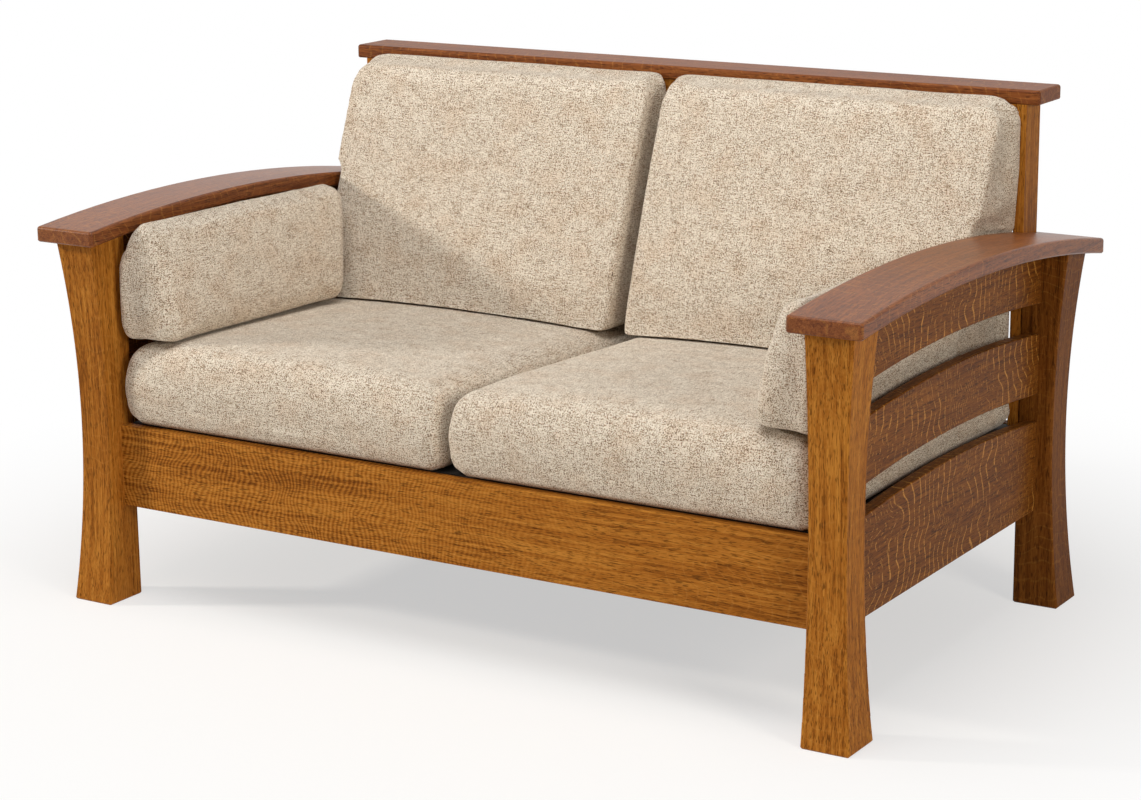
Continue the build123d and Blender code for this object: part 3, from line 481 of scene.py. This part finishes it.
class SETTEE_OT_oak(bpy.types.Operator):
    """Finishes the boards and legs in stained quarter-sawn oak"""

    bl_idname = "settee.oak"
    bl_label = "Oak frame"

    def execute(self, context):
        c = colours()
        golden = (c.oak_dark, c.oak_mid, c.oak_light, c.oak_ray)
        brown = (c.side_dark, c.side_mid, c.side_light, c.oak_ray)
        ruddy = (c.cap_dark, c.cap_mid, c.cap_light, c.oak_ray)
        slats = [f"back_slat_{index + 1}" for index in range(9)]
        rails = ["rear_rail", "back_bottom_rail", "back_top_rail"]
        sides = both("side_top_rail", "side_middle_slat", "side_bottom_rail")
        cap_finish = {"fleck": 0.2, "gloss": 0.26, "shine": 0.22}
        crest_finish = {"fleck": 0.2, "gloss": 0.34, "shine": 0.12}
        for names, name, grain, tones, finish in (
            (both("front_leg"), "front_legs", "z", golden, {"fleck": 0.12}),
            # Rear legs wear the side boards' darker tones: partly a darker board, partly painted
            # shade from the arm and side above them
            (both("rear_leg"), "rear_legs_dark_board_and_painted_shade", "z", brown, {"fleck": 0.12}),
            (both("arm_cap"), "arm_caps", "y", ruddy, cap_finish),
            (["crest_cap"], "crest", "x", ruddy, crest_finish),
            (sides, "sides", "y", brown, {"fleck": 0.85, "shine": 0.06}),
            (["front_rail"], "front_rail", "x", golden, {"fleck": 0.15, "ripple": 0.07}),
            (rails, "rails", "x", golden, {"fleck": 0.4}),
            (both("back_stile") + slats, "uprights", "z", golden, {"fleck": 0.2}),
        ):
            dress(names, stained_oak(f"stained_oak_{name}", grain, tones, **finish))
        return {"FINISHED"}


class SETTEE_OT_deck(bpy.types.Operator):
    """Finishes the hidden deck, its springs, cloth, screws and dowels"""

    bl_idname = "settee.deck"
    bl_label = "Deck and fastenings"

    def execute(self, context):
        c = colours()
        springs = [f"seat_spring_{index + 1}" for index in range(6)]
        screws = ["stile_screws", "cleat_screws", "deck_screws"]
        across = ["deck_front_board", "deck_rear_board", "front_cleat", "rear_cleat"]
        along = ["deck_left_board", "deck_centre_board", "deck_right_board", "centre_rail"]
        dress(across, plain_wood("poplar_long_boards", "x", c.poplar))
        dress(along, plain_wood("poplar_cross_boards", "y", c.poplar))
        dress(["arm_cap_dowels", "crest_dowels"], plain_wood("beech_dowels", "z", c.beech))
        dress(["deck_cloth"], woven_cambric("black_cambric"))
        dress(springs + ["spring_clips"], steel("oil_tempered_spring_steel", c.spring_steel, 0.35))
        dress(screws, steel("zinc_plated_screws", c.zinc, 0.25))
        return {"FINISHED"}


def mesh_points(mesh):
    """A mesh's vertices as an array."""
    points = np.empty(len(mesh.vertices) * 3, np.float64)
    mesh.vertices.foreach_get("co", points)
    return points.reshape(-1, 3)


def set_points(mesh, points):
    """Moves a mesh's vertices to the rows of an array."""
    mesh.vertices.foreach_set("co", points.astype(np.float32).ravel())
    mesh.update()


def mesh_normals(mesh):
    """A mesh's vertex normals as an array."""
    normals = np.empty(len(mesh.vertices) * 3, np.float64)
    mesh.vertex_normals.foreach_get("vector", normals)
    return normals.reshape(-1, 3)


def surface_tree(item):
    """A search tree of an object's surface."""
    return BVHTree.FromObject(item, bpy.context.evaluated_depsgraph_get())


def fading(distance, full, gone):
    """1 up to one distance, falling evenly to 0 at another."""
    return np.clip((gone - distance) / (gone - full), 0, 1)


def eased(share):
    """A share from 0 to 1 that starts and ends gently."""
    return share * share * (3 - 2 * share)


def apply_modifier(piece, name, kind, **settings):
    """Adds a modifier to a piece and applies it."""
    modifier = piece.modifiers.new(name, kind)
    for key, value in settings.items():
        setattr(modifier, key, value)
    with bpy.context.temp_override(object=piece, active_object=piece, selected_objects=[piece]):
        bpy.ops.object.modifier_apply(modifier=modifier.name)


def copied_shell(node_name, piece_name, step):
    """A closed copy of a cushion's solid, evenly meshed and drawn in, and its points before."""
    piece = bpy.data.objects.new(piece_name, nodes[node_name].data.copy())
    bpy.context.scene.collection.objects.link(piece)
    piece.data.materials.clear()
    apply_modifier(piece, "weld", "WELD", merge_threshold=0.00005)
    apply_modifier(piece, "remesh", "REMESH", mode="VOXEL", voxel_size=step)
    if not piece.data.polygons:
        raise RuntimeError(f"{node_name} could not be remeshed")
    piece.data.update()
    solid = mesh_points(piece.data)
    set_points(piece.data, solid - mesh_normals(piece.data) * sizes().tuck)
    return piece, solid


def simulate_filling(piece):
    """Runs the cloth under its filling's pressure, without weight, and keeps the last frame."""
    cloth = piece.modifiers.new("cloth", "CLOTH")
    settings = cloth.settings
    settings.quality = 5
    settings.mass = 0.3
    settings.tension_stiffness = 12
    settings.compression_stiffness = 12
    settings.shear_stiffness = 6
    settings.bending_stiffness = 0.6
    settings.use_pressure = True
    settings.uniform_pressure_force = sizes().fill_pressure
    settings.effector_weights.gravity = 0
    cloth.point_cache.frame_start = 1
    cloth.point_cache.frame_end = sizes().fill_frames
    scene = bpy.context.scene
    for frame_number in range(1, sizes().fill_frames + 1):
        scene.frame_set(frame_number)
    with bpy.context.temp_override(object=piece, active_object=piece, selected_objects=[piece]):
        bpy.ops.object.modifier_apply(modifier=cloth.name)
    scene.frame_set(1)


def fill(piece, most):
    """Swells a cover by its filling, with no point moved further than most."""
    before = mesh_points(piece.data)
    simulate_filling(piece)
    moved = mesh_points(piece.data) - before
    reach = np.linalg.norm(moved, axis=1, keepdims=True)
    capped = moved * np.minimum(1, most / np.maximum(reach, 1e-9))
    set_points(piece.data, before + capped)


def hold(piece, solid, depth):
    """Keeps a cover as flat as its solid where it rests; depth is how far a point is from there."""
    flat = 0.2 * sizes().rest_fade
    share = eased(fading(depth, flat, flat + sizes().rest_fade))[:, None]
    set_points(piece.data, mesh_points(piece.data) * (1 - share) + solid * share)


def fit_box(piece, node_name, margin):
    """Stretches a cover along each axis until it spans its solid's box, less a margin."""
    low, high = (np.array(corner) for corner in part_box(node_name))
    low, high = low + margin, high - margin
    points = mesh_points(piece.data)
    start, end = points.min(0), points.max(0)
    set_points(piece.data, low + (points - start) * (high - low) / (end - start))


def mirrored_piece(piece, name):
    """A copy of a right-hand piece for the left-hand side."""
    twin = bpy.data.objects.new(name, piece.data.copy())
    bpy.context.scene.collection.objects.link(twin)
    twin.data.transform(Matrix.Diagonal((-1, 1, 1, 1)))
    twin.data.flip_normals()
    return twin


def cover_pair(kind, step, puff, rounds, rest_axis, rest_sign):
    """The right and left covers of a kind of cushion, filled and still alike.

    The cushion rests on the low side of an axis where the sign is 1, and on the high side at -1.
    """
    node = f"{kind}_cushion_right"
    low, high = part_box(node)
    edge = (low if rest_sign > 0 else high)[rest_axis]
    right, solid = copied_shell(node, f"{kind}_cover_right", step)
    fill(right, puff)
    hold(right, solid, rest_sign * (solid[:, rest_axis] - edge))
    apply_modifier(right, "relax", "SMOOTH", factor=0.5, iterations=rounds)
    apply_modifier(right, "divide", "SUBSURF", levels=1, render_levels=1)
    fit_box(right, node, sizes().soft_gap)
    return right, mirrored_piece(right, f"{kind}_cover_left")


def rumple(piece, depth, wavelength, seed):
    """Gives a cover slow shallow unevenness, different on each cushion."""
    points = mesh_points(piece.data)
    normals = mesh_normals(piece.data)
    generator = np.random.default_rng(seed)
    waves = 6
    lift = np.zeros(len(points))
    for _ in range(waves):
        direction = generator.normal(size=3)
        direction /= np.linalg.norm(direction)
        phase = generator.uniform(0, 2 * math.pi)
        length = wavelength * generator.uniform(0.7, 1.6)
        lift += np.sin(points @ direction * 2 * math.pi / length + phase)
    set_points(piece.data, points + normals * (lift * depth / waves)[:, None])


def keep_within(piece, node_name):
    """Draws points that stand outside a cushion's solid back to just inside it."""
    tree = surface_tree(nodes[node_name])
    margin = sizes().skin
    points = mesh_points(piece.data)
    for index, point in enumerate(points):
        place, normal = tree.find_nearest(Vector(point))[:2]
        if (Vector(point) - place).dot(normal) > -margin:
            points[index] = place - normal * margin
    set_points(piece.data, points)


def settle(piece, support, sag):
    """Sinks a cushion's underside to the cushion below it and presses its lower edge flat."""
    underside_facing = -0.97
    pressed_share = 0.6
    tree = surface_tree(support)
    seat = mesh_points(support.data)
    low, high = seat.min(0) + sizes().settle_inset, seat.max(0) - sizes().settle_inset
    points = mesh_points(piece.data)
    underside = mesh_normals(piece.data)[:, 2] < underside_facing
    slope, height = np.polyfit(points[underside, 1], points[underside, 2], 1)
    above = points[:, 2] - (slope * points[:, 1] + height)
    share = eased(fading(above, 0, sizes().settle_height))
    for index in np.flatnonzero(share):
        x, y = np.clip(points[index, :2], low[:2], high[:2])
        hit = tree.ray_cast(Vector((x, y, high[2] + 0.1)), DOWN)
        room = points[index, 2] - above[index] - hit[0].z - sizes().soft_gap
        points[index, 2] -= min(max(room, 0), sag) * share[index]
    pressed = np.clip(above, 0, None)
    points[:, 2] -= pressed_share * pressed * fading(pressed, 0, sizes().pressed_height)
    set_points(piece.data, points)


def lie_on(points, support, gap):
    """Lifts points that would sink into a cushion below them, so that they lie on it."""
    tree = surface_tree(support)
    box = mesh_points(support.data)
    low, high = box.min(0), box.max(0)
    for index, (x, y, z) in enumerate(points):
        if low[0] < x < high[0] and low[1] < y < high[1] and z < high[2] + gap:
            hit = tree.ray_cast(Vector((x, y, high[2] + 0.05)), DOWN)
            if hit[0] is not None and z < hit[0].z + gap:
                points[index, 2] = hit[0].z + gap
    return points


def cap_height(depths):
    """Height of the bent arm cap's top at each depth, from its highest points every millimetre."""
    cap = nodes["arm_cap_right"].data
    slice_half = 0.001
    tops = mesh_points(cap)[mesh_normals(cap)[:, 2] > 0.5]
    steps = np.unique(np.round(tops[:, 1], 3))
    heights = [tops[np.abs(tops[:, 1] - step) < slice_half, 2].max() for step in steps]
    return np.interp(depths, steps, heights)


def spread_corner(points, above, side_x, rear_y):
    """Spreads a cover's rear corner where it squeezes over the arm cap.

    It spreads fully to 30 mm above the cap, 40 mm from its rear and 10 mm from its side.
    """
    share = np.clip(above / sizes().cap_step, 0, 1) * fading(above, 0.03, 0.08)
    share *= fading(rear_y - points[:, 1], 0.04, 0.12)
    share *= fading(side_x - points[:, 0], 0.01, 0.03)
    points[:, 0] = np.minimum(points[:, 0] + share * sizes().cap_spread, side_x)
    return points


def sharpen_edge(points, side_x, rear_y, reach):
    """Draws out the upright seam where a cover's side meets its rear."""
    across = np.clip((points[:, 0] - side_x) / reach + 1, 0, None)
    back = np.clip((points[:, 1] - rear_y) / reach + 1, 0, None)
    near = (across > 0) & (back > 0)
    longest = np.where(near, np.maximum(across, back), 1)
    factor = np.where(near, np.hypot(across, back) / longest, 1)
    points[:, 0] += across * reach * (factor - 1)
    points[:, 1] += back * reach * (factor - 1)
    return points


def over_cap(points, low_x, high, gap):
    """Keeps a right-hand back cover inside the arm cap, and widens it evenly above the cap."""
    above = points[:, 2] - cap_height(points[:, 1]) - gap
    inner = CAP_INNER_X - gap + np.clip(above, 0, sizes().cap_step)
    outer = inner + np.clip(above / sizes().cap_bulge, 0, 1) * (high.x - inner)
    points = spread_corner(points, above, outer, high.y)
    points = sharpen_edge(points, outer, high.y - gap, sizes().seam_reach)
    points[:, 0] = np.clip(points[:, 0], low_x, outer)
    points[:, 1] = np.minimum(points[:, 1], CREST_FRONT_Y - gap)
    return points


def weave_map(piece):
    """Lays the weave flat on each panel, in metres, by the way that the panel faces."""
    mesh = piece.data
    uv = mesh.uv_layers.new(name=WEAVE_UV)
    points = mesh_points(mesh)
    corner_points = np.empty(len(mesh.loops), np.int64)
    mesh.loops.foreach_get("vertex_index", corner_points)
    normals = np.empty(len(mesh.polygons) * 3)
    mesh.polygons.foreach_get("normal", normals)
    # Front and rear panels run a little way round the edges
    normals = np.abs(normals.reshape(-1, 3)) * np.array([1.0, 1.25, 1.0])
    totals = np.empty(len(mesh.polygons), np.int64)
    mesh.polygons.foreach_get("loop_total", totals)
    facing = np.repeat(normals.argmax(1), totals)
    across = np.array([1, 0, 0])[facing]
    upward = np.array([2, 2, 1])[facing]
    placed = points[corner_points]
    rows = np.arange(len(placed))
    flat = np.stack([placed[rows, across], placed[rows, upward]], 1)
    uv.data.foreach_set("uv", flat.astype(np.float32).ravel())


def finish_cushion(piece, points, node_name):
    """Last points, weave, material, shading and the frame's rules for one cushion."""
    set_points(piece.data, points)
    weave_map(piece)
    material = bpy.data.materials.get("wool_tweed") or tweed("wool_tweed")
    piece.data.materials.clear()
    piece.data.materials.append(material)
    piece.data.polygons.foreach_set("use_smooth", [True] * len(piece.data.polygons))
    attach(piece, f"{node_name}_body")
    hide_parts(node_name)


class SETTEE_OT_seat_cushions(bpy.types.Operator):
    """Makes the two deep seat cushions"""

    bl_idname = "settee.seat_cushions"
    bl_label = "Seat cushions"

    def execute(self, context):
        gap = sizes().soft_gap
        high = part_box("seat_cushion_right")[1]
        pair = cover_pair("seat", sizes().mesh_step, sizes().seat_puff, 2, 2, 1)
        for (name, side), piece, seed in zip(SIDES, pair, (3, 11)):
            node = f"seat_cushion_{name}"
            rumple(piece, 0.0016, 0.22, seed)
            keep_within(piece, node)
            points = mesh_points(piece.data)
            across = np.clip(points[:, 0] * side, sizes().middle_gap, LEG_INNER_X - gap)
            points[:, 0] = side * across
            points[:, 1] = np.minimum(points[:, 1], high.y)
            points[:, 2] = np.maximum(points[:, 2], RAIL_TOP_Z + gap)
            finish_cushion(piece, points, node)
        return {"FINISHED"}


class SETTEE_OT_arm_cushions(bpy.types.Operator):
    """Makes the two wedge cushions inside the arms"""

    bl_idname = "settee.arm_cushions"
    bl_label = "Arm cushions"

    def execute(self, context):
        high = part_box("arm_cushion_right")[1]
        pair = cover_pair("arm", sizes().arm_mesh_step, sizes().arm_puff, 1, 0, -1)
        for (name, side), piece, seed in zip(SIDES, pair, (5, 17)):
            node = f"arm_cushion_{name}"
            seat = bpy.data.objects[f"seat_cover_{name}"]
            rumple(piece, 0.0012, 0.16, seed)
            keep_within(piece, node)
            settle(piece, seat, sizes().arm_sag)
            points = mesh_points(piece.data)
            points[:, 0] = side * np.minimum(points[:, 0] * side, high.x)
            points[:, 2] = np.minimum(points[:, 2], high.z)
            finish_cushion(piece, lie_on(points, seat, sizes().soft_gap), node)
        return {"FINISHED"}


class SETTEE_OT_back_cushions(bpy.types.Operator):
    """Makes the two wedge cushions that lean on the back"""

    bl_idname = "settee.back_cushions"
    bl_label = "Back cushions"

    def execute(self, context):
        gap = sizes().soft_gap
        low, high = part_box("back_cushion_right")
        pair = cover_pair("back", sizes().mesh_step, sizes().back_puff, 2, 1, -1)
        for (name, side), piece, seed in zip(SIDES, pair, (7, 23)):
            node = f"back_cushion_{name}"
            seat = bpy.data.objects[f"seat_cover_{name}"]
            rumple(piece, 0.0016, 0.2, seed)
            keep_within(piece, node)
            settle(piece, seat, sizes().back_sag)
            points = mesh_points(piece.data) * (side, 1, 1)
            points = over_cap(points, low.x, high, gap) * (side, 1, 1)
            finish_cushion(piece, lie_on(points, seat, gap), node)
        return {"FINISHED"}


def zip_tree():
    """Nodes for a coil zip: a woven tape and a row of teeth that follow a cover's rear."""
    tree = bpy.data.node_groups.new("cover_zip", "GeometryNodeTree")
    for name, kind in (
        ("Cover", "NodeSocketObject"),
        ("Start", "NodeSocketVector"),
        ("End", "NodeSocketVector"),
        ("Tape Width", "NodeSocketFloat"),
        ("Tooth Pitch", "NodeSocketFloat"),
        ("Lift", "NodeSocketFloat"),
        ("Material", "NodeSocketMaterial"),
    ):
        tree.interface.new_socket(name, in_out="INPUT", socket_type=kind)
    tree.interface.new_socket("Geometry", in_out="OUTPUT", socket_type="NodeSocketGeometry")
    given = tree.nodes.new("NodeGroupInput").outputs
    cover = add_node(tree, "GeometryNodeObjectInfo", {"Object": given["Cover"]})
    pitch, lift, width = given["Tooth Pitch"], given["Lift"], given["Tape Width"]

    def on_cover(geometry, stand_off):
        """Drops points on the cover's rear face, so many lifts off the cloth."""
        cast = add_node(
            tree,
            "GeometryNodeRaycast",
            {
                "Target Geometry": cover.outputs["Geometry"],
                "Source Position": add_node(tree, "GeometryNodeInputPosition"),
                "Ray Direction": (0, -1, 0),
                "Ray Length": 0.2,
            },
        )
        height = add_node(tree, MATH, [lift, stand_off], operation="MULTIPLY")
        raised = add_node(tree, VECTOR_MATH, {0: (0, 1, 0), "Scale": height}, operation="SCALE")
        inputs = [cast.outputs["Hit Position"], raised]
        target = add_node(tree, VECTOR_MATH, inputs, operation="ADD")
        inputs = [geometry, cast.outputs["Is Hit"], target]
        return add_node(tree, "GeometryNodeSetPosition", inputs)

    line = add_node(tree, "GeometryNodeCurvePrimitiveLine", [given["Start"], given["End"]])
    spaced = {"Curve": line, "Length": pitch}
    path = add_node(tree, "GeometryNodeResampleCurve", spaced, mode="LENGTH")
    thickness = add_node(tree, MATH, [lift, 1.2], operation="MULTIPLY")
    section = add_node(tree, "GeometryNodeCurvePrimitiveQuadrilateral", [width, thickness])
    sweep = {"Curve": on_cover(path, 0.4), "Profile Curve": section, "Fill Caps": True}
    tape = add_node(tree, "GeometryNodeCurveToMesh", sweep)

    # A tooth fills half of its pitch and a quarter of the tape's width
    tooth_length = add_node(tree, MATH, [pitch, 0.55], operation="MULTIPLY")
    tooth_width = add_node(tree, MATH, [width, 0.25], operation="MULTIPLY")
    tooth = add_node(tree, "ShaderNodeCombineXYZ", [tooth_length, lift, tooth_width])
    tooth = add_node(tree, "GeometryNodeMeshCube", [tooth])
    spaced = {"Curve": path, "Length": pitch}
    points = add_node(tree, "GeometryNodeCurveToPoints", spaced, mode="LENGTH")
    placed = {"Points": on_cover(points, 1.4), "Instance": tooth}
    teeth = add_node(tree, "GeometryNodeInstanceOnPoints", placed)
    joined = add_node(tree, "GeometryNodeJoinGeometry", [teeth])
    tree.links.new(tape.outputs[0], joined.inputs[0])
    real = add_node(tree, "GeometryNodeRealizeInstances", [joined])
    inputs = {"Geometry": real, "Material": given["Material"]}
    dressed = add_node(tree, "GeometryNodeSetMaterial", inputs)
    add_node(tree, "NodeGroupOutput", [dressed])
    return tree


class SETTEE_OT_zips(bpy.types.Operator):
    """Sews a zip into the lower rear of each back cover"""

    bl_idname = "settee.zips"
    bl_label = "Cover zips"

    def execute(self, context):
        tree = zip_tree()
        sockets = {item.name: item.identifier for item in tree.interface.items_tree}
        material = nylon_zip("nylon_coil_zip")
        half = sizes().zip_length / 2
        behind = 0.05
        fewest_faces = 100
        for name in ("left", "right"):
            low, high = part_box(f"back_cushion_{name}")
            middle = (low.x + high.x) / 2
            height = low.z + sizes().zip_rise
            holder = bpy.data.objects.new("zip_holder", bpy.data.meshes.new("zip_holder"))
            context.scene.collection.objects.link(holder)
            modifier = holder.modifiers.new("zip", "NODES")
            modifier.node_group = tree
            settings = {
                "Cover": bpy.data.objects[f"back_cover_{name}"],
                "Start": (middle - half, high.y + behind, height),
                "End": (middle + half, high.y + behind, height),
                "Tape Width": sizes().zip_width,
                "Tooth Pitch": sizes().zip_pitch,
                "Lift": sizes().zip_lift,
                "Material": material,
            }
            for key, value in settings.items():
                modifier[sockets[key]] = value
            graph = context.evaluated_depsgraph_get()
            mesh = bpy.data.meshes.new_from_object(holder.evaluated_get(graph))
            if len(mesh.polygons) < fewest_faces:
                raise RuntimeError("The zip missed the back cover")
            bpy.data.objects.remove(holder)
            piece = bpy.data.objects.new(f"back_zip_{name}", mesh)
            context.scene.collection.objects.link(piece)
            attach(piece, f"back_cushion_{name}_body")
        return {"FINISHED"}


# The photograph's viewpoint
CAMERA_TARGET = Vector((0.0, 0.0, 0.3459))
CAMERA_AZIMUTH = math.radians(32.0055)
CAMERA_ELEVATION = math.radians(14.2404)
CAMERA_DISTANCE = 4.6439
CAMERA_ROLL = math.radians(-0.638)
CAMERA_LENS_MM = 87.80
CAMERA_SENSOR_MM = 36

# Name, place, what it lights, size in metres, power in watts and colour. The key stands low on
# the left and a little in front; its edge shadow crosses the left back cushion.
STUDIO_LIGHTS = (
    ("key", (-4.8, -2.6, 2.35), (0.0, 0.1, 0.5), 0.5, 180, "#fffaf2"),
    ("side", (4.4, -1.9, 2.0), (0.0, 0.0, 0.45), 1.2, 86, "#fff8ee"),
    ("top", (0.2, -0.9, 3.4), (0.0, 0.0, 0.4), 2.4, 74, "#ffffff"),
)
SOFT_LIGHT_COLOUR = "#fffaf3"
SOFT_LIGHT_STRENGTH = 0.12
FLOOR_HALF_WIDTH = 30.0
WHITE = (1, 1, 1)


def add_camera():
    """The camera at the photograph's angle, distance and tilt."""
    towards = Vector(
        (
            math.sin(CAMERA_AZIMUTH) * math.cos(CAMERA_ELEVATION),
            -math.cos(CAMERA_AZIMUTH) * math.cos(CAMERA_ELEVATION),
            math.sin(CAMERA_ELEVATION),
        )
    )
    right = Vector((0, 0, 1)).cross(towards).normalized()
    up = towards.cross(right)
    turned_right = right * math.cos(CAMERA_ROLL) + up * math.sin(CAMERA_ROLL)
    turned_up = up * math.cos(CAMERA_ROLL) - right * math.sin(CAMERA_ROLL)
    data = bpy.data.cameras.new("photograph_view")
    data.lens = CAMERA_LENS_MM
    data.sensor_width = CAMERA_SENSOR_MM
    camera = bpy.data.objects.new("photograph_view", data)
    bpy.context.scene.collection.objects.link(camera)
    rotation = Matrix((turned_right, turned_up, towards)).transposed().to_4x4()
    place = CAMERA_TARGET + towards * CAMERA_DISTANCE
    camera.matrix_world = Matrix.Translation(place) @ rotation
    bpy.context.scene.camera = camera


def add_area_light(name, place, aim, size, power, hex_colour):
    """A square soft light at a place, turned towards what it lights."""
    data = bpy.data.lights.new(name, "AREA")
    data.size = size
    data.energy = power
    data.color = linear(hex_colour)
    lamp = bpy.data.objects.new(name, data)
    bpy.context.scene.collection.objects.link(lamp)
    lamp.location = place
    lamp.rotation_euler = (Vector(aim) - Vector(place)).to_track_quat("-Z", "Y").to_euler()


def seen_directly(tree):
    """1 where a camera, mirror or glass ray meets the background, 0 for its light."""
    path = add_node(tree, "ShaderNodeLightPath").outputs
    seen = [path["Is Camera Ray"], path["Is Glossy Ray"]]
    seen = add_node(tree, MATH, seen, operation="MAXIMUM")
    return add_node(tree, MATH, [seen, path["Is Transmission Ray"]], operation="MAXIMUM")


def add_world():
    """A white studio: white where the camera or a reflection sees it, softer as light."""
    world = bpy.data.worlds.new("studio")
    bpy.context.scene.world = world
    world.use_nodes = True
    tree = world.node_tree
    tree.nodes.clear()
    white = add_node(tree, "ShaderNodeBackground", [WHITE, 1.0])
    soft = add_node(tree, "ShaderNodeBackground", [linear(SOFT_LIGHT_COLOUR), SOFT_LIGHT_STRENGTH])
    shown = add_node(tree, "ShaderNodeMixShader", [seen_directly(tree), soft, white])
    add_node(tree, "ShaderNodeOutputWorld", [shown])


def studio_floor(name):
    """Matt white paper that fades to plain white away from the settee."""
    material, tree = new_material(name)
    fade_start, fade_end, fade_least = 0.5, 1.7, 0.55
    place = add_node(tree, "ShaderNodeTexCoord").outputs["Object"]
    away = add_node(tree, VECTOR_MATH, [place], operation="LENGTH")
    fade = [away, fade_start, fade_end, fade_least]
    fade = add_node(tree, MAP_RANGE, fade, interpolation_type="SMOOTHSTEP")
    paper = add_node(tree, "ShaderNodeBsdfDiffuse", [colours().floor])
    white = add_node(tree, "ShaderNodeEmission", [WHITE, 1.0])
    share = add_node(tree, MATH, [fade, seen_directly(tree)], operation="MULTIPLY")
    shown = add_node(tree, "ShaderNodeMixShader", [share, paper, white])
    add_node(tree, "ShaderNodeOutputMaterial", [shown])
    return material


class SETTEE_OT_stage(bpy.types.Operator):
    """Adds the floor, the studio light and the camera"""

    bl_idname = "settee.stage"
    bl_label = "Stage"

    def execute(self, context):
        context.scene.view_settings.view_transform = "Standard"
        half = FLOOR_HALF_WIDTH
        mesh = bpy.data.meshes.new("floor")
        corners = [(-half, -half, 0), (half, -half, 0), (half, half, 0), (-half, half, 0)]
        mesh.from_pydata(corners, [], [(0, 1, 2, 3)])
        floor = bpy.data.objects.new("floor", mesh)
        context.scene.collection.objects.link(floor)
        mesh.materials.append(studio_floor("white_paper"))
        add_world()
        for light in STUDIO_LIGHTS:
            add_area_light(*light)
        add_camera()
        return {"FINISHED"}


class SETTEE_PT_panel(bpy.types.Panel):
    """Lists the settee's steps and settings"""

    bl_idname = "SETTEE_PT_panel"
    bl_label = "Settee"
    bl_space_type = "VIEW_3D"
    bl_region_type = "UI"
    bl_category = "Settee"

    def draw(self, context):
        for group in (context.scene.settee_sizes, context.scene.settee_colours):
            for key in group.bl_rna.properties.keys():
                if key not in ("rna_type", "name"):
                    self.layout.prop(group, key)
        for operator in OPERATORS:
            self.layout.operator(operator.bl_idname)


OPERATORS = (
    SETTEE_OT_oak,
    SETTEE_OT_deck,
    SETTEE_OT_seat_cushions,
    SETTEE_OT_arm_cushions,
    SETTEE_OT_back_cushions,
    SETTEE_OT_zips,
    SETTEE_OT_stage,
)
CLASSES = (SetteeSizes, SetteeColours, SETTEE_PT_panel, *OPERATORS)


def register():
    for cls in CLASSES:
        bpy.utils.register_class(cls)
    bpy.types.Scene.settee_sizes = PointerProperty(type=SetteeSizes)
    bpy.types.Scene.settee_colours = PointerProperty(type=SetteeColours)


def unregister():
    del bpy.types.Scene.settee_colours
    del bpy.types.Scene.settee_sizes
    for cls in reversed(CLASSES):
        bpy.utils.unregister_class(cls)


def main():
    register()
    bpy.ops.settee.oak()
    bpy.ops.settee.deck()
    bpy.ops.settee.seat_cushions()
    bpy.ops.settee.arm_cushions()
    bpy.ops.settee.back_cushions()
    bpy.ops.settee.zips()
    bpy.ops.settee.stage()


if __name__ == "__main__":
    main()
